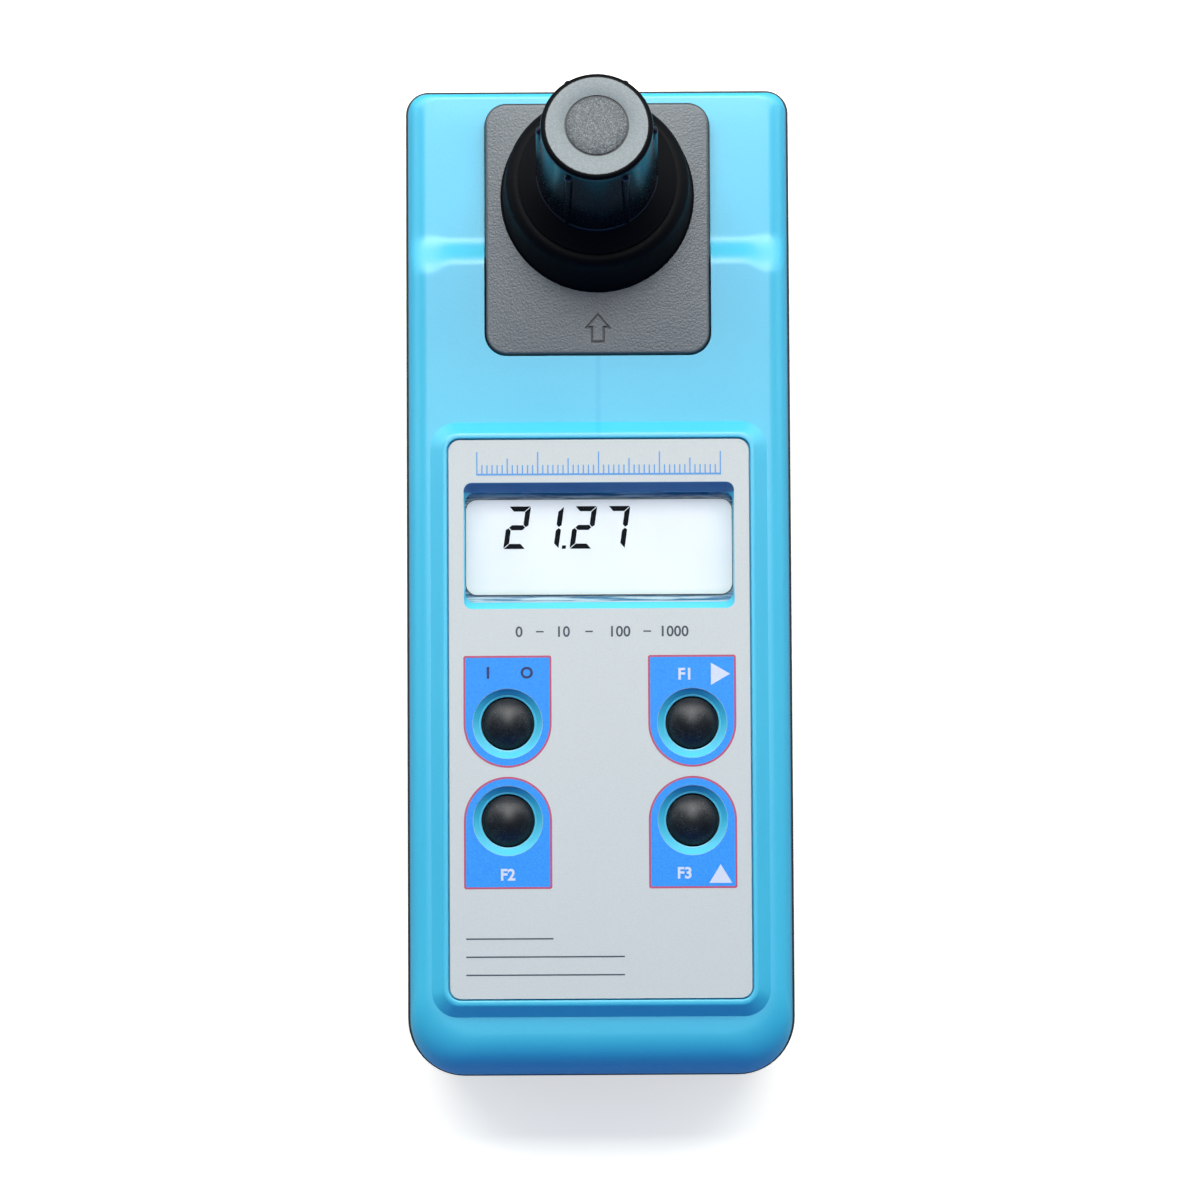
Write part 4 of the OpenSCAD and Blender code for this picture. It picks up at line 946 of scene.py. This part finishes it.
groove = [(6.62, cap_top), (6.54, cap_top - 0.04), (6.5, cap_top - 0.25), (6.18, cap_top - 0.25),
          (6.14, cap_top - 0.04), (6.06, cap_top), (3, cap_top), (0.02, cap_top)]
rings = [cap_ring(r, z) for r, z in hollow + flange + skirt + grip + crown + groove]
ends = np.arange(len(turn))[None, :]
cap = built("cap", woven(rings), (rings[0], ends[:, ::-1]), (rings[-1], ends))

# The black and its gloss are tinted blue, so that what it mirrors comes out navy: a painted reflection tint.
grip_black = Finish("grip_black", Specular_IOR_Level=0.3, Specular_Tint=(0.5, 0.6, 1.0, 1.0))
drift = grip_black.cloud(0.01, 3)
scratch = grip_black.cloud(0.0004, 3)
grip_black.show(Base_Color=grip_black.blend(drift, ink(6, 7, 12), ink(10, 12, 19)))
grip_black.show(Roughness=0.16 + drift * 0.08 + scratch.between(0.6, 0.8) * 0.2)
grip_black.rough_skin(scratch, 0.000004)

# The crown: a pitted disc inside the turned groove, a smoother ring round it, and a dark edge.
disc_r, groove_r, groove_half, edge_r = 0.0062, 0.00634, 0.0002, 0.01035
crown_grain = Finish("crown_grain", Specular_IOR_Level=0.5)
across, along, up = crown_grain.axes()
off_axis = (across ** 2.0 + (along - cell_y / 1000) ** 2.0) ** 0.5
fine, coarse = crown_grain.cloud(0.00016, 4), crown_grain.cloud(0.00032, 4)
inner = off_axis < disc_r
turned = abs(off_axis - groove_r) < groove_half
# The black crown is coloured grey between its pits: painted sheen of the lamp overhead on the grain.
pits_and_painted_sheen = (fine * 0.5 + coarse * 0.5 + inner * 0.06).between(0.4, 0.6) * (0.3 + inner * 0.7)
pits_and_painted_sheen = crown_grain.blend(pits_and_painted_sheen, ink(138, 149, 149), ink(30, 38, 44))
edge = (turned + (off_axis + (fine - 0.5) * 0.0005 > edge_r)).between(0, 1)
crown_grain.show(Base_Color=crown_grain.blend(edge, pits_and_painted_sheen, ink(8, 10, 12)))
crown_grain.show(Roughness=0.4 + fine * 0.15)
crown_grain.rough_skin(fine * 0.5 + inner * coarse * 0.5, 0.00004)

# The grip is polished, the top is grained, and the flange, the skirt and the crown's round are dull.
for finish in (grip_black, collar_black, crown_grain):
    finish.lay_on(cap)
middles = np.empty(len(cap.data.polygons) * 3)
cap.data.polygons.foreach_get("center", middles)
x, y, z = middles.reshape(-1, 3).T * 1000
top_face = (z > cap_top - 0.3) & (np.hypot(x, y - cell_y) < 10.5)
dull = (z < foot_z - 0.05) | ((z > cap_top - 0.75) & ~top_face)
cap.data.polygons.foreach_set("material_index", np.where(top_face, 2, dull.astype(int)))
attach(cap, "cap")
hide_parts("cuvette_cap")

# TABLE, LIGHT AND CAMERA
# A plain white table under a wide soft lamp beyond the deep end, with two weak panels at the sides and a
# faint blue one at the nose. A lamp overhead adds gloss alone. The camera looks down on the face.

table_half = 6
bench_mesh = bpy.data.meshes.new("bench")
table_line = [(x * table_half, y * table_half, 0) for x, y in ((-1, -1), (1, -1), (1, 1), (-1, 1))]
bench_mesh.from_pydata(table_line, [], [(0, 1, 2, 3)])
bench = bpy.data.objects.new("bench", bench_mesh)
bpy.context.scene.collection.objects.link(bench)

# The camera, and in part what the gloss mirrors, sees a table lit white. The light that it throws back on the
# object is that of blue-grey paper. Its glow is a little less than white close to the object: painted shade.
bench_white = Finish("bench_white", Roughness=0.8, Specular_IOR_Level=0.0, Emission_Strength=1.0)
camera_ray = bench_white.put("ShaderNodeLightPath", out="Is Camera Ray")
path = camera_ray.socket.node.outputs
mirrored, through = (Wire(bench_white, path[kind]) for kind in ("Is Glossy Ray", "Is Transmission Ray"))
seen = (camera_ray + mirrored * 0.15 + through).between(0, 1)
paper = bench_white.blend(bench_white.cloud(0.5), ink(100, 126, 158), ink(96, 122, 156))
bench_white.show(Base_Color=bench_white.blend(seen, paper, ink(255, 251, 238)))
across, along, up = bench_white.axes()
away = (across ** 2.0 + along ** 2.0) ** 0.5
glow_and_painted_shade = bench_white.blend(away.between(0.2, 0.9), ink(206, 204, 198), ink(255, 255, 255))
bench_white.show(Emission_Color=bench_white.blend(seen, ink(0, 0, 0), glow_and_painted_shade))
bench_white.lay_on(bench)


def lamp(name, place, aim, wide, deep, power, colour=(1, 1, 1)):
    """A soft lamp, wide across and deep the other way, that looks from its place to its aim."""
    light = bpy.data.lights.new(name, "AREA")
    light.shape = "RECTANGLE"
    light.size, light.size_y = wide, deep
    light.energy = power
    light.color = colour
    body = bpy.data.objects.new(name, light)
    bpy.context.scene.collection.objects.link(body)
    body.location = place
    body.rotation_euler = (Vector(aim) - Vector(place)).to_track_quat("-Z", "Y").to_euler()
    return body


meter_middle = (0, 0, 0.05)
lamp("far_softbox", (0, 0.76, 1.1), (0, 0.02, 0.05), 2.2, 0.6, 23.5)
gloss_lamp = lamp("overhead_gloss", (0, 0.4, 1.58), meter_middle, 0.62, 1.0, 17)
gloss_lamp.visible_diffuse = False
lamp("sky_fill", (0, -0.95, 0.35), meter_middle, 1.4, 0.6, 2.4, (0.02, 0.22, 1))
for side in (-1, 1):
    lamp("side_panel", (side * 0.85, 0.5, 0.35), meter_middle, 1.2, 0.6, 4.2)

# The room gives a faint blue light, and is white where the camera sees past the table.
world = bpy.data.worlds.new("room")
world.use_nodes = True
room = world.node_tree
shade, pale = room.nodes["Background"], room.nodes.new("ShaderNodeBackground")
shade.inputs["Color"].default_value = (0.4, 0.65, 1, 1)
shade.inputs["Strength"].default_value = 0.14
pale.inputs["Color"].default_value = (1, 1, 1, 1)
ray, either = room.nodes.new("ShaderNodeLightPath"), room.nodes.new("ShaderNodeMixShader")
for source, socket in ((ray.outputs["Is Camera Ray"], 0), (shade.outputs[0], 1), (pale.outputs[0], 2)):
    room.links.new(source, either.inputs[socket])
room.links.new(either.outputs[0], room.nodes["World Output"].inputs[0])
bpy.context.scene.world = world
bpy.context.scene.view_settings.view_transform = "Standard"

# The eye looks from its distance at the face's middle, tilted off the vertical and rolled a little.
eye_away, tilt, roll = 0.77, math.radians(13.4), math.radians(0.3)
back = Vector((0, -math.sin(tilt), math.cos(tilt)))
upward = Vector((0, math.cos(tilt), math.sin(tilt)))
right = Vector((math.cos(roll), 0, 0)) - upward * math.sin(roll)
upward = back.cross(right)
aim = Vector(on_face(0.152, 100.79, 0.0).tolist())
eye = bpy.data.cameras.new("eye")
eye.sensor_width = 36
eye.lens = 108.943
camera = bpy.data.objects.new("eye", eye)
bpy.context.scene.collection.objects.link(camera)
turned_to = Matrix((right, upward, back)).transposed().to_4x4()
camera.matrix_world = Matrix.Translation(aim + back * eye_away) @ turned_to
bpy.context.scene.camera = camera
